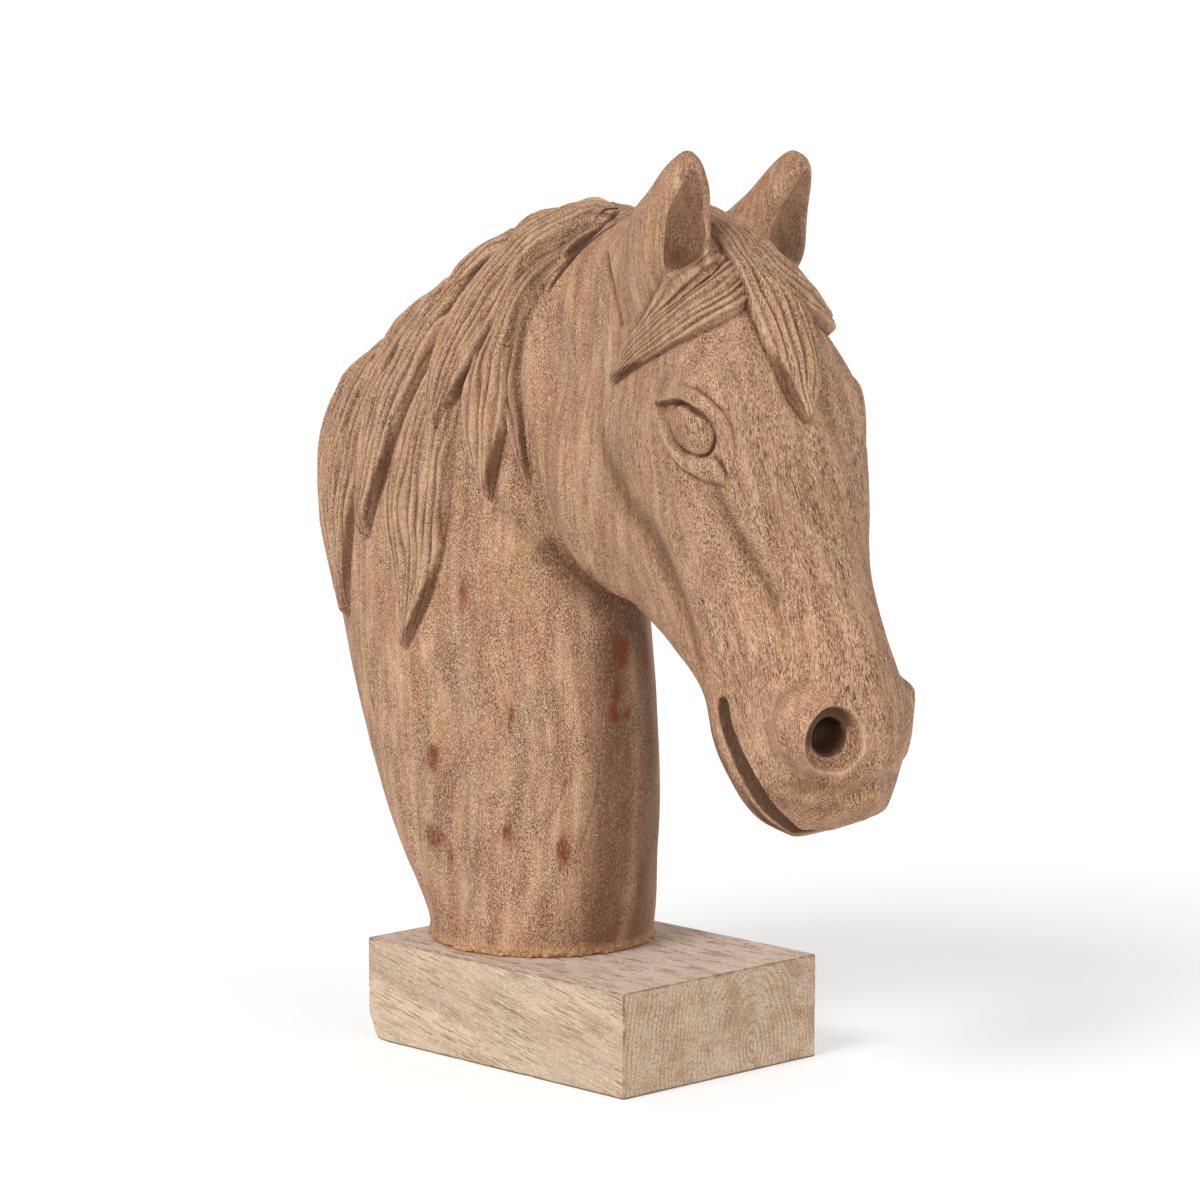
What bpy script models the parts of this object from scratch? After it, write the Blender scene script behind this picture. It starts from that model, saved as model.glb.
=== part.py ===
"""A horse's head and neck carved from one piece of wood, standing on a rectangular wooden plinth.

The plinth's underside is centred on the origin, +Z is up and the horse looks along +X.
The carving is drawn in units of its own height, on a frame whose origin is the middle of the neck's foot.
"""

import math

import bmesh
import bpy
import numpy as np
from mathutils import Matrix, Vector

# Driving dimensions in metres
PLINTH_LENGTH = 0.178
PLINTH_WIDTH = 0.128
PLINTH_HEIGHT = 0.050
PLINTH_EDGE = 0.0012
CONTACT_GAP = 0.0003
FOOT_INSET = 0.0005
BUST_HEIGHT = 0.386

# The carving is drawn this many units high, from its foot to the tips of its ears
DRAWN_HEIGHT = 386.0
UNIT = BUST_HEIGHT / DRAWN_HEIGHT
FOOT_HALF_LENGTH = 54.0
FOOT_X = -PLINTH_LENGTH / 2 + FOOT_INSET + FOOT_HALF_LENGTH * UNIT

# The head leans forward from the upright by this angle, about the top of the forehead
HEAD_LEAN = math.radians(22)
HEAD_TOP = Vector((94, 0, 370))
DOWN_FACE = Vector((math.sin(HEAD_LEAN), 0, -math.cos(HEAD_LEAN)))
OUT_OF_FACE = Vector((math.cos(HEAD_LEAN), 0, math.sin(HEAD_LEAN)))

# Each ear opens forward, turned outward by EAR_TURN, and its rims lie EAR_RIM from the way it opens
EAR_TURN = math.radians(22)
EAR_RIM = math.radians(48)
LEFT_EAR_DROP = 2.5

RING_POINTS = 24
RINGS_PER_RIB = 5
BLEND_VOXEL = 2.5
CARVE_VOXEL = 1.5
BUST_FACES = 9400

# Each lock is a path of (x, y, z, half-width) points from root to tip, its rise and its number of strands
MANE_RIGHT = (
    ([(60, -8, 356, 7), (34, -10, 350, 9), (8, -8, 342, 9), (-30, -5, 327, 10), (-72, -8, 300, 12),
      (-104, -14, 266, 14), (-124, -20, 230, 15), (-122, -26, 195, 12), (-106, -36, 165, 5), (-99, -40, 153, 1)], 2.2, 4),
    ([(20, -10, 346, 8), (-20, -9, 330, 9), (-55, -15, 306, 12), (-80, -26, 278, 17), (-95, -35, 245, 20),
      (-100, -39, 212, 19), (-99, -41, 180, 12), (-96, -41, 153, 1)], 3.4, 5),
    ([(0, -34, 306, 8), (-22, -39, 276, 14), (-33, -44, 245, 19), (-36, -47, 215, 21), (-33, -50, 188, 16),
      (-34, -52, 165, 9), (-39, -53, 144, 1)], 3.8, 5),
    ([(50, -26, 341, 5), (24, -33, 316, 9), (9, -38, 288, 12), (5, -40, 262, 14), (6, -41, 240, 9),
      (8, -40, 219, 1)], 4.4, 4),
    ([(50, -12, 354, 7), (20, -14, 345, 9), (-14, -18, 328, 12), (-42, -28, 303, 15), (-59, -35, 277, 17),
      (-68, -42, 247, 14), (-71, -47, 218, 9), (-71, -50, 195, 1)], 5.0, 5),
    ([(92, -22, 362, 3), (62, -24, 351, 4), (40, -31, 331, 5), (26, -36, 307, 5), (20, -38, 282, 5),
      (22, -38, 257, 5), (29, -35, 223, 1)], 3.6, 1),
    ([(86, -14, 362, 6), (56, -17, 354, 9), (24, -24, 340, 12), (0, -32, 312, 16), (-16, -37, 286, 15),
      (-23, -42, 264, 9), (-23, -44, 251, 1)], 6.2, 5),
)
MANE_LEFT = (
    ([(20, -10, 346, 8), (-20, -9, 330, 9), (-55, -15, 306, 12), (-80, -26, 278, 17), (-98, -35, 245, 18),
      (-104, -39, 212, 13), (-104, -41, 182, 1)], 2.6, 3),
    ([(0, -34, 306, 8), (-22, -39, 276, 14), (-32, -44, 245, 17), (-34, -47, 215, 13), (-30, -50, 182, 1)], 3.0, 3),
    ([(50, -12, 354, 7), (20, -14, 345, 9), (-14, -18, 328, 12), (-42, -28, 303, 15), (-60, -35, 277, 15),
      (-69, -42, 247, 9), (-72, -47, 222, 1)], 3.8, 3),
    ([(86, -16, 362, 6), (56, -20, 353, 9), (26, -28, 336, 12), (6, -34, 310, 14), (-4, -38, 284, 12),
      (-6, -42, 256, 1)], 4.4, 4),
)
FORELOCK_RIGHT = (
    ([(54, 0, 358, 8), (84, 0, 358, 15), (106, 0, 355, 20), (124, 0, 348, 23), (138, 0, 337, 20),
      (150, 0, 324, 8)], 3.4, 8),
    ([(128, -3, 351, 7), (138, -10, 341, 12), (141, -24, 333, 15), (137, -38, 321, 14.5), (126, -47, 308, 11.5),
      (110, -49, 296, 8), (92, -46, 280, 1)], 5.8, 5),
    ([(90, 0, 358, 8), (116, -2, 352, 12), (132, 0, 344, 14), (147, 0, 330, 16), (160, -2, 311, 16),
      (170, -4, 292, 12), (178, -5, 277, 7), (183, -5, 264, 1)], 5.6, 6),
)
FORELOCK_LEFT = (
    ([(126, -6, 352, 7), (136, -14, 340, 11), (142, -27, 329, 12), (139, -38, 319, 11), (131, -44, 309, 9),
      (120, -47, 299, 1)], 6.4, 4),
)

# Cuts made on both sides, each a path of (x, y, z, half-width) points and a depth
CUTS = (
    ([(155, -31, 138, 3.2), (158, -32, 128, 3.6), (163, -32, 116, 3.6), (171, -31, 104, 3.4), (181, -28, 92, 3.2),
      (190, -20, 82, 3), (196, -9, 76, 3), (198, 0, 74, 3)], 4.6),
    ([(86, -40, 345, 2), (90, -41, 332, 3), (97, -44, 320, 3), (101, -46, 306, 2)], 2.0),
    ([(30, -36, 226, 2), (37, -30, 208, 4), (47, -23, 192, 4), (58, -14, 184, 2)], 2.0),
    ([(172, -44, 234, 5), (182, -40, 207, 9), (191, -36, 182, 9), (198, -33, 160, 6)], 2.8),
    ([(128, -50, 232, 8), (146, -44, 200, 12), (162, -38, 170, 12), (176, -35, 148, 6)], 1.6),
    ([(-96, -40, 146, 6), (-80, -44, 100, 9), (-62, -46, 56, 10), (-50, -46, 20, 8)], 1.2),
    ([(-50, -52, 140, 6), (-44, -52, 90, 9), (-36, -52, 50, 9), (-30, -52, 14, 7)], 1.2),
    ([(-8, -48, 190, 7), (-6, -51, 140, 10), (-4, -52, 80, 10), (-4, -52, 20, 8)], 1.3),
    ([(22, -40, 200, 6), (28, -41, 150, 9), (30, -41, 90, 9), (28, -40, 20, 7)], 1.3),
)


def smooth_curve(points, steps):
    """Points on a Catmull-Rom curve through the given points, with this many steps in each span."""
    p = np.asarray(points, float)
    p = np.concatenate([[2 * p[0] - p[1]], p, [2 * p[-1] - p[-2]]])
    t = np.arange(steps)[:, None] / steps
    spans = []
    for a, b, c, d in zip(p, p[1:], p[2:], p[3:]):
        a, b, c, d = (q.reshape(1, -1) for q in (a, b, c, d))
        spans.append(
            b
            + 0.5 * t * (c - a)
            + t**2 * (a - 2.5 * b + 2 * c - 0.5 * d)
            + t**3 * (1.5 * (b - c) + 0.5 * (d - a))
        )
    shape = (-1,) + np.shape(points)[1:]
    return np.concatenate([*spans, p[-2].reshape(1, -1)]).reshape(shape)


def rib(front, back, widths):
    """A closed ring in the plane through front, back and the Y axis.

    front and back are (x, z) points of the side outline. widths are (share of the way back, half-width) pairs.
    Its points are evenly spaced, counting its length a hundredfold shorter than its share of the way back.
    """
    half = [(0.0, 0.0), *widths, (1.0, 0.0)]
    mirrored = [(s, -w) for s, w in reversed(half[1:-1])]
    loop = np.array(half + mirrored + half[:3], float)
    curve = smooth_curve(loop, 12)
    half_curve = curve[: 12 * (len(half) - 1) + 1]
    half_curve[0] = half[0]
    length = np.concatenate([[0], np.cumsum(np.linalg.norm(np.diff(half_curve * (100, 1), axis=0), axis=1))])
    even = np.linspace(0, length[-1], RING_POINTS // 2 + 1)
    share = np.interp(even, length, half_curve[:, 0])
    width = np.interp(even, length, half_curve[:, 1])
    share = np.concatenate([share, share[-2:0:-1]])
    width = np.concatenate([width, -width[-2:0:-1]])
    f, b = np.array(front, float), np.array(back, float)
    outline = f + share[:, None] * (b - f)
    return np.stack([outline[:, 0], width, outline[:, 1]], axis=1)


def loft(ribs):
    """A closed skin over the ribs, smoothly faired from each to the next."""
    rings = smooth_curve(np.array(ribs), RINGS_PER_RIB)
    bm = bmesh.new()
    rows = [[bm.verts.new(p) for p in ring] for ring in rings]
    count = len(rows[0])
    for low, high in zip(rows, rows[1:]):
        for i in range(count):
            j = (i + 1) % count
            bm.faces.new((low[i], low[j], high[j], high[i]))
    bm.faces.new(rows[0])
    bm.faces.new(rows[-1])
    bmesh.ops.recalc_face_normals(bm, faces=bm.faces)
    return bm


def head_rib(along, front, back, widths):
    """A rib of the head: along is how far down the face, front and back how far out of the head's own axis."""
    ends = []
    for out in (front, back):
        p = HEAD_TOP + along * DOWN_FACE + out * OUT_OF_FACE
        ends.append((p.x, p.z))
    return rib(*ends, widths)


def neck():
    """The neck: crest and throat points of the side outline, and how wide it is between them."""
    def section(crest, throat, half_width, ridge=0.54, chest=0.52):
        widths = [
            (0.08, half_width * ridge),
            (0.28, half_width * 0.89),
            (0.52, half_width),
            (0.76, half_width * 0.86),
            (0.93, half_width * chest),
        ]
        return rib(crest, throat, widths)

    return loft([
        section((-54, 0), (54, 0), 53),
        section((-59, 15), (58, 14), 53),
        section((-82, 42), (63, 42), 53),
        section((-107, 88), (67, 80), 53),
        section((-129, 150), (65, 130), 53),
        section((-145, 213), (62, 169), 51),
        section((-138, 258), (63, 197), 46),
        section((-97, 290), (66, 225), 42),
        section((-45, 323), (80, 250), 38),
        section((6, 348), (92, 280), 34),
        section((50, 360), (110, 310), 27),
    ])


def head():
    """The skull from the poll to the lips."""
    return loft([
        head_rib(9, -2, -54, [(0.1, 16), (0.3, 23), (0.6, 24), (0.9, 14)]),
        head_rib(22, 12, -68, [(0.06, 21), (0.24, 33), (0.5, 37), (0.85, 26)]),
        head_rib(43, 29, -84, [(0.06, 26), (0.2, 38), (0.45, 42), (0.85, 33)]),
        head_rib(66, 37, -93, [(0.05, 29), (0.16, 41), (0.35, 45), (0.85, 34)]),
        head_rib(88, 41, -99, [(0.04, 31), (0.11, 41), (0.26, 47), (0.85, 35)]),
        head_rib(112, 43, -102, [(0.04, 33), (0.11, 52), (0.28, 54), (0.85, 36)]),
        head_rib(140, 43, -101, [(0.05, 32), (0.12, 47), (0.33, 49), (0.85, 35)]),
        head_rib(172, 41, -92, [(0.05, 26), (0.14, 38), (0.38, 41), (0.85, 31)]),
        head_rib(200, 39, -76, [(0.06, 21), (0.2, 31), (0.45, 35), (0.85, 27)]),
        head_rib(228, 38, -62, [(0.07, 20), (0.25, 29), (0.5, 33), (0.85, 26)]),
        head_rib(252, 38, -64, [(0.08, 23), (0.25, 33), (0.5, 35), (0.85, 26)]),
        head_rib(274, 34, -60, [(0.09, 23), (0.28, 33), (0.55, 33), (0.85, 25)]),
        head_rib(292, 26, -51, [(0.1, 16), (0.3, 28), (0.6, 29), (0.88, 20)]),
        head_rib(306, 12, -35, [(0.12, 14), (0.3, 21), (0.6, 21), (0.88, 13)]),
    ])


def ball(centre, radii):
    """An ellipsoid with its axes along X, Y and Z."""
    bm = bmesh.new()
    bmesh.ops.create_uvsphere(bm, u_segments=24, v_segments=16, radius=1.0)
    bmesh.ops.scale(bm, vec=Vector(radii), verts=bm.verts)
    bmesh.ops.translate(bm, vec=Vector(centre), verts=bm.verts)
    return bm


def both_sides(maker):
    """The piece that maker(side) makes for the right, at -Y, and for the left, at +Y."""
    return [maker(-1), maker(1)]


def cheek(side):
    return ball((96, side * 26, 238), (62, 21, 62))


def poll():
    return ball((106, 0, 337), (34, 34, 15))


def brow(side):
    return ball((142, side * 38, 274), (25, 14, 18))


def nostril_swell(side):
    return ball((202, side * 24, 130), (18, 18, 21))


def ear(side):
    """An ear: rings from its tip to its root. Each is an oval, hollowed from the front, that opens outward."""
    rings = []
    turn = side * EAR_TURN
    drop = LEFT_EAR_DROP if side > 0 else 0
    a = np.arange(2 * RING_POINTS) * math.pi / RING_POINTS
    across = np.clip(np.sin(a) / math.sin(EAR_RIM), -1, 1)
    front = (np.cos(a) > 0) * (1 - across**2)
    for height, x, y, half_length, half_width, hollow in (
        (388.5, 136, 36.5, 1.5, 1.5, 0),
        (385, 136, 36.5, 6.5, 5.5, 0),
        (379, 134, 36.5, 10.5, 9.5, 0),
        (369, 130, 35.5, 15, 14, 3),
        (360, 124.5, 35, 20, 17, 9),
        (350, 122, 34.5, 24, 18.5, 16),
        (341, 120, 34, 26, 19, 22),
        (332, 116, 33, 27, 18, 22),
        (324, 111, 32, 25, 17, 10),
        (308, 107, 30, 22, 14, 0),
    ):
        out = half_length * np.cos(a) - hollow * front
        side_way = half_width * np.sin(a)
        px = x + out * math.cos(turn) - side_way * math.sin(turn)
        py = side * y + out * math.sin(turn) + side_way * math.cos(turn)
        rings.append(np.stack([px, py, np.full_like(px, height - drop)], axis=1))
    return loft(rings)


class Skin:
    """The points of a mesh, and the way out of the wood at each."""

    def __init__(self, mesh):
        self.mesh = mesh
        self.points = np.empty((len(mesh.vertices), 3))
        self.out = np.empty_like(self.points)
        mesh.vertices.foreach_get("co", self.points.reshape(-1))
        mesh.vertices.foreach_get("normal", self.out.reshape(-1))

    def nearest(self, point):
        """The index of the point of the skin that is nearest."""
        return np.argmin(np.sum((self.points - point) ** 2, axis=1))

    def move(self, way):
        self.points += way
        self.mesh.vertices.foreach_set("co", self.points.reshape(-1))
        self.mesh.update()


def mirrored(path, side):
    """The path, drawn for the right side at -Y, or its mirror image for side 1."""
    return [(x, -side * y, *rest) for x, y, *rest in path]


class Stroke:
    """A line drawn on the skin, and where each point of the skin lies by it.

    Each point of the path is (x, y, z, half-width). near holds the indices of the points that the stroke reaches.
    For these, along runs from 0 to 1, and aside is -1 and 1 at the stroke's edges.
    """

    def __init__(self, skin, path):
        line = smooth_curve(path, 6)
        spots = [skin.nearest(q) for q in line[:, :3]]
        centre, out, half = skin.points[spots], skin.out[spots], line[:, 3]
        reach = half.max() * 1.6 + 2
        low, high = centre.min(axis=0) - reach, centre.max(axis=0) + reach
        self.near = np.flatnonzero(np.all((skin.points > low) & (skin.points < high), axis=1))
        points = skin.points[self.near]
        steps = np.linalg.norm(np.diff(centre, axis=0), axis=1)
        run = np.concatenate([[0], np.cumsum(steps)])
        best = np.full(len(points), np.inf)
        self.along = np.zeros(len(points))
        self.aside = np.full(len(points), 9.0)
        for k, step in enumerate(steps):
            if step < 1e-6:
                continue
            tangent = (centre[k + 1] - centre[k]) / step
            across = np.cross(tangent, out[k] + out[k + 1])
            across /= np.linalg.norm(across)
            offset = points - centre[k]
            share = offset @ tangent / step
            held = np.clip(share, 0, 1)
            gap = offset - np.outer(held * step, tangent)
            square = np.sum(gap**2, axis=1)
            closer = square < best
            side_way = gap @ across
            past = (share - held) * step
            width = half[k] + held * (half[k + 1] - half[k])
            aside = np.hypot(side_way, past) * np.where(side_way < 0, -1, 1) / width
            best[closer] = square[closer]
            self.along[closer] = ((run[k] + held * step) / run[-1])[closer]
            self.aside[closer] = aside[closer]
        self.aside[best > reach**2] = 9.0


def fade_in(value, end):
    """0 at 0, 1 from end on, smooth between."""
    t = np.clip(value / end, 0, 1)
    return t * t * (3 - 2 * t)


def gouge(skin, path, depth):
    """A round-bottomed cut along the path. It is shallower at its two ends."""
    stroke = Stroke(skin, path)
    cut = np.zeros(len(skin.points))
    shape = np.clip(1 - stroke.aside**2, 0, 1)
    ends = fade_in(stroke.along, 0.12) * fade_in(1 - stroke.along, 0.12)
    cut[stroke.near] = -depth * shape * ends
    return cut


def lock(skin, path, rise, strands, cut=2.3):
    """A lock of hair that stands out of the skin, parted into strands by grooves along it."""
    stroke = Stroke(skin, path)
    u = np.clip(stroke.aside, -1, 1)
    body = rise * np.sqrt(1 - np.abs(u) ** 3) * fade_in(stroke.along, 0.15)
    phase = (u + 1) / 2 * strands + 0.15 * np.sin(9 * stroke.along + strands)
    ridge = 1 - np.abs(2 * (phase % 1) - 1) ** 2
    groove = cut * (1 - ridge**0.8) * fade_in(1 - np.abs(u), 0.2)
    height = np.zeros(len(skin.points))
    height[stroke.near] = np.where(np.abs(stroke.aside) < 1, np.maximum(body - groove, 0), 0)
    return height


def hair(skin):
    """The mane and the forelock: where locks overlap, the one that stands higher covers the other."""
    height = np.zeros(len(skin.points))
    for side, locks in ((-1, MANE_RIGHT), (1, MANE_LEFT), (-1, FORELOCK_RIGHT), (1, FORELOCK_LEFT)):
        for path, rise, strands in locks:
            height = np.maximum(height, lock(skin, mirrored(path, side), rise, strands))
    return height


def own_frame(skin, centre, along):
    """The middle of a patch of skin, and two unit vectors in it: one near along, and one across it that points up."""
    patch = skin.points[skin.nearest(centre)]
    close = np.sum((skin.points - patch) ** 2, axis=1) < 8**2
    out = skin.out[close].mean(axis=0)
    out /= np.linalg.norm(out)
    first = np.array(along, float)
    first -= out * (first @ out)
    first /= np.linalg.norm(first)
    second = np.cross(out, first)
    second *= math.copysign(1, second[2])
    return patch, out, first, second


def eye(skin, side):
    """An eyeball in an almond-shaped opening between two lids, each with a crease beyond it."""
    patch, out, forward, up = own_frame(skin, (156, side * 52, 262), (41, -side * 8, -34))
    offset = skin.points - patch
    p, q = offset @ forward, offset @ up
    upper = np.interp(p, *zip((-27, -8), (-20, 3), (-11, 9), (-1, 11), (8, 9), (16, 1), (22, -4), (27, -9)))
    lower = np.interp(p, *zip((-27, -8), (-16, -10.5), (-4, -12), (4, -12), (11, -9), (17, -4), (22, -5), (27, -9)))
    height = np.zeros(len(p))
    open_part = (q < upper) & (q > lower)
    taper = np.clip(1 - (p / 27) ** 2, 0, 1)
    socket = -1.2 - 2.0 * np.clip((q - lower) / np.maximum(upper - lower, 1), 0, 1)
    ball_height = 6.0 * np.sqrt(np.clip(1 - (p / 12.4) ** 2 - (q / 9.0) ** 2, 0, 1)) - 3.2
    height[open_part] = np.maximum(socket, ball_height)[open_part]
    above, below = q - upper, lower - q
    height += 1.7 * taper * np.clip(1 - ((above - 1.8) / 2.0) ** 2, 0, 1)
    height -= 1.4 * taper * np.clip(1 - ((above - 5.0) / 1.7) ** 2, 0, 1)
    height += 1.1 * taper * np.clip(1 - ((below - 1.7) / 1.9) ** 2, 0, 1)
    height -= 1.3 * taper * np.clip(1 - ((below - 5.0) / 1.9) ** 2, 0, 1)
    height[np.sum(offset**2, axis=1) > 32**2] = 0
    return height


def nostril(skin, side):
    """A funnel with a raised rim, and a hole bored in from its middle. The left one sits a little further back."""
    centre = (214, 29, 127) if side > 0 else (218.5, -24.5, 126)
    patch, out, down, back = own_frame(skin, centre, (0, 0, -1))
    offset = skin.points - patch
    p, q = offset @ down, offset @ back
    reach = np.hypot(p / 1.12, q)
    depth = np.interp(reach, (0, 4.5, 6.8, 8.0, 12.0, 14.5, 18.0), (-15, -14, -11, -4.5, -0.6, 1.0, 0))
    depth[np.sum(offset**2, axis=1) > 22**2] = 0
    return depth[:, None] * out


def merged(pieces):
    """One mesh that holds all the pieces, still overlapping."""
    mesh = bpy.data.meshes.new("masses")
    whole = bmesh.new()
    for bm in pieces:
        part = bpy.data.meshes.new("mass")
        bm.to_mesh(part)
        bm.free()
        whole.from_mesh(part)
        bpy.data.meshes.remove(part)
    whole.to_mesh(mesh)
    whole.free()
    return mesh


def shown(name, mesh, collection):
    obj = bpy.data.objects.new(name, mesh)
    collection.objects.link(obj)
    return obj


def wood(name, colour, roughness):
    material = bpy.data.materials.new(name)
    material.use_nodes = True
    shader = material.node_tree.nodes["Principled BSDF"]
    shader.inputs["Base Color"].default_value = (*colour, 1)
    shader.inputs["Roughness"].default_value = roughness
    return material


def baked(obj):
    """The object's mesh with its modifiers applied, in place of the old one."""
    graph = bpy.context.evaluated_depsgraph_get()
    mesh = bpy.data.meshes.new_from_object(obj.evaluated_get(graph))
    obj.modifiers.clear()
    obj.data = mesh
    return obj


def remeshed(obj, voxel, smoothing):
    remesh = obj.modifiers.new("Remesh", "REMESH")
    remesh.mode = "VOXEL"
    remesh.voxel_size = voxel
    smooth = obj.modifiers.new("Smooth", "SMOOTH")
    smooth.factor = 0.5
    smooth.iterations = smoothing
    return baked(obj)


def thinned(obj, faces):
    """The surface with about this many triangles, the most of them where it curves the most."""
    triangles = sum(len(p.vertices) - 2 for p in obj.data.polygons)
    thin = obj.modifiers.new("Decimate", "DECIMATE")
    thin.ratio = faces / triangles
    return baked(obj)


def flat_foot(mesh):
    """Cuts the carving level at its foot."""
    bm = bmesh.new()
    bm.from_mesh(mesh)
    everything = bm.verts[:] + bm.edges[:] + bm.faces[:]
    cut = bmesh.ops.bisect_plane(bm, geom=everything, plane_co=(0, 0, 1), plane_no=(0, 0, 1), clear_inner=True)
    rim = [e for e in cut["geom_cut"] if isinstance(e, bmesh.types.BMEdge)]
    bmesh.ops.holes_fill(bm, edges=rim)
    bmesh.ops.translate(bm, vec=(0, 0, -1), verts=bm.verts)
    bmesh.ops.triangulate(bm, faces=bm.faces)
    bm.to_mesh(mesh)
    bm.free()


def carve(mesh):
    skin = Skin(mesh)
    height = hair(skin)
    for path, depth in CUTS:
        for side in (-1, 1):
            height = height + gouge(skin, mirrored(path, side), depth)
    for side in (-1, 1):
        height = height + eye(skin, side)
    way = height[:, None] * skin.out
    for side in (-1, 1):
        way = way + nostril(skin, side)
    skin.move(way)


def build():
    for obj in list(bpy.data.objects):
        bpy.data.objects.remove(obj)
    collection = bpy.data.collections.new("horse_head_sculpture")
    bpy.context.scene.collection.children.link(collection)

    masses = [neck(), head(), poll()]
    for maker in (cheek, brow, nostril_swell, ear):
        masses += both_sides(maker)
    bust = shown("horse_head", merged(masses), collection)
    remeshed(bust, BLEND_VOXEL, 6)
    remeshed(bust, CARVE_VOXEL, 1)
    carve(bust.data)
    remeshed(bust, CARVE_VOXEL, 1)
    thinned(bust, BUST_FACES)
    flat_foot(bust.data)
    bust.data.transform(Matrix.Scale(UNIT, 4))
    bust.location = (FOOT_X, 0, PLINTH_HEIGHT + CONTACT_GAP)
    bust.data.shade_smooth()
    bust.data.materials.append(wood("carved_wood", (0.51, 0.28, 0.17), 0.6))

    bm = bmesh.new()
    bmesh.ops.create_cube(bm, size=1.0)
    bmesh.ops.scale(bm, vec=Vector((PLINTH_LENGTH, PLINTH_WIDTH, PLINTH_HEIGHT)), verts=bm.verts)
    block = bpy.data.meshes.new("plinth")
    bm.to_mesh(block)
    bm.free()
    plinth = shown("plinth", block, collection)
    plinth.location = (0, 0, PLINTH_HEIGHT / 2)
    bevel = plinth.modifiers.new("Bevel", "BEVEL")
    bevel.width = PLINTH_EDGE
    bevel.segments = 2
    block.materials.append(wood("pale_wood", (0.67, 0.5, 0.35), 0.65))


build()
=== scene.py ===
# %% [markdown]
# A horse's head and neck, carved in the round from one piece of mango wood, stand on a sawn block of
# paler wood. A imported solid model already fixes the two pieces, their sizes and places. This lesson
# carves a finer skin over the bust, wears the block's edges and gives both their wood. Everything is in
# metres, +Z up, and the horse looks along +X.

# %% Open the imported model
import math

import bmesh
import bpy
import numpy as np
from mathutils import Matrix, Vector, kdtree, noise


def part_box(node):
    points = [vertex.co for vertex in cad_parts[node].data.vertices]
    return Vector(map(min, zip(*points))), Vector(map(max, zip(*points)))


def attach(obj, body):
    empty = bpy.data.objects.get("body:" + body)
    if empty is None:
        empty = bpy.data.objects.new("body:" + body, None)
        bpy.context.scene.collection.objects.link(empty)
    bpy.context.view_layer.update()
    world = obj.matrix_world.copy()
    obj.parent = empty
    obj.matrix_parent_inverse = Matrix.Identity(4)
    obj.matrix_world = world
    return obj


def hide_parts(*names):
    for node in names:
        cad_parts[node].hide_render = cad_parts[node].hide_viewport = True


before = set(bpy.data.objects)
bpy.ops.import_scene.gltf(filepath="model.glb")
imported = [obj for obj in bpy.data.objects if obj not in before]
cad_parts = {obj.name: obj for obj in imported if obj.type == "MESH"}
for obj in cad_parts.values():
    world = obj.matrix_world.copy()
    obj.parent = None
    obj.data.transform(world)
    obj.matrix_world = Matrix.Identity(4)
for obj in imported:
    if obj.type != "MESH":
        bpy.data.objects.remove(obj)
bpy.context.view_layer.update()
bust_low = Vector(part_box("horse_head")[0])
block_low, block_high = (Vector(corner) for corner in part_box("plinth"))
MM = 0.001
print("the bust stands on", bust_low.z, "m, the block reaches from", block_low, "to", block_high)

# %% [markdown]
# The camera comes first, because every later choice is judged through it. A long lens from two and a half
# metres away keeps the block's edges almost parallel. Its place is written the way a photographer would
# walk to it: an angle around the object, an angle above the floor and a distance.

# %% Set up the camera
CAMERA_AROUND = math.radians(46.09)
CAMERA_ABOVE = math.radians(8.03)
CAMERA_DISTANCE = 2.416
VIEW_CENTRE_ASIDE = 0.0047
VIEW_CENTRE_UP = 0.2159
LENS = 150


def direction(around, above):
    """The way from the object towards a place this far around it and above the floor."""
    return Vector((math.sin(around) * math.cos(above), -math.cos(around) * math.cos(above), math.sin(above)))


towards_camera = direction(CAMERA_AROUND, CAMERA_ABOVE)
camera_right = Vector((math.cos(CAMERA_AROUND), math.sin(CAMERA_AROUND), 0))
camera_up = towards_camera.cross(camera_right)
camera = bpy.data.objects.new("camera", bpy.data.cameras.new("camera"))
camera.data.lens = LENS
camera.location = (
    camera_right * VIEW_CENTRE_ASIDE + camera_up * VIEW_CENTRE_UP + towards_camera * CAMERA_DISTANCE
)
camera.rotation_euler = towards_camera.to_track_quat("Z", "Y").to_euler()
bpy.context.scene.collection.objects.link(camera)
bpy.context.scene.camera = camera
print("camera at", camera.location)

# %% [markdown]
# A product studio lights such a piece with one large soft source high on the left and a white room that
# fills the shadows. A sun lamp with a wide angle makes that source. The room looks a little brighter than
# it shines, as if its far wall were lit on its own. The Standard view keeps the wood's colours as they
# are set.

# %% Light the studio
ROOM_LIGHT = 0.60
ROOM_BEHIND = 1.02


def fill(tree, node, inputs):
    """Sets a node's inputs from (socket, value) pairs. A value may be another node's output."""
    for socket, value in inputs:
        if isinstance(value, bpy.types.NodeSocket):
            tree.links.new(value, node.inputs[socket])
        else:
            node.inputs[socket].default_value = value
    return node


def add(tree, kind, inputs=(), **settings):
    """Adds a node with its settings and its inputs."""
    made = tree.nodes.new("ShaderNode" + kind)
    for name, value in settings.items():
        setattr(made, name, value)
    return fill(tree, made, inputs)


bpy.context.scene.view_settings.view_transform = "Standard"
world = bpy.data.worlds.new("studio")
world.use_nodes = True
tree = world.node_tree
seen = add(tree, "LightPath").outputs["Is Camera Ray"]
strength = add(tree, "MapRange", [("Value", seen), ("To Min", ROOM_LIGHT), ("To Max", ROOM_BEHIND)])
fill(tree, tree.nodes["Background"], [
    ("Color", (1, 1, 1, 1)), ("Strength", strength.outputs["Result"]),
])
bpy.context.scene.world = world


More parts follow.
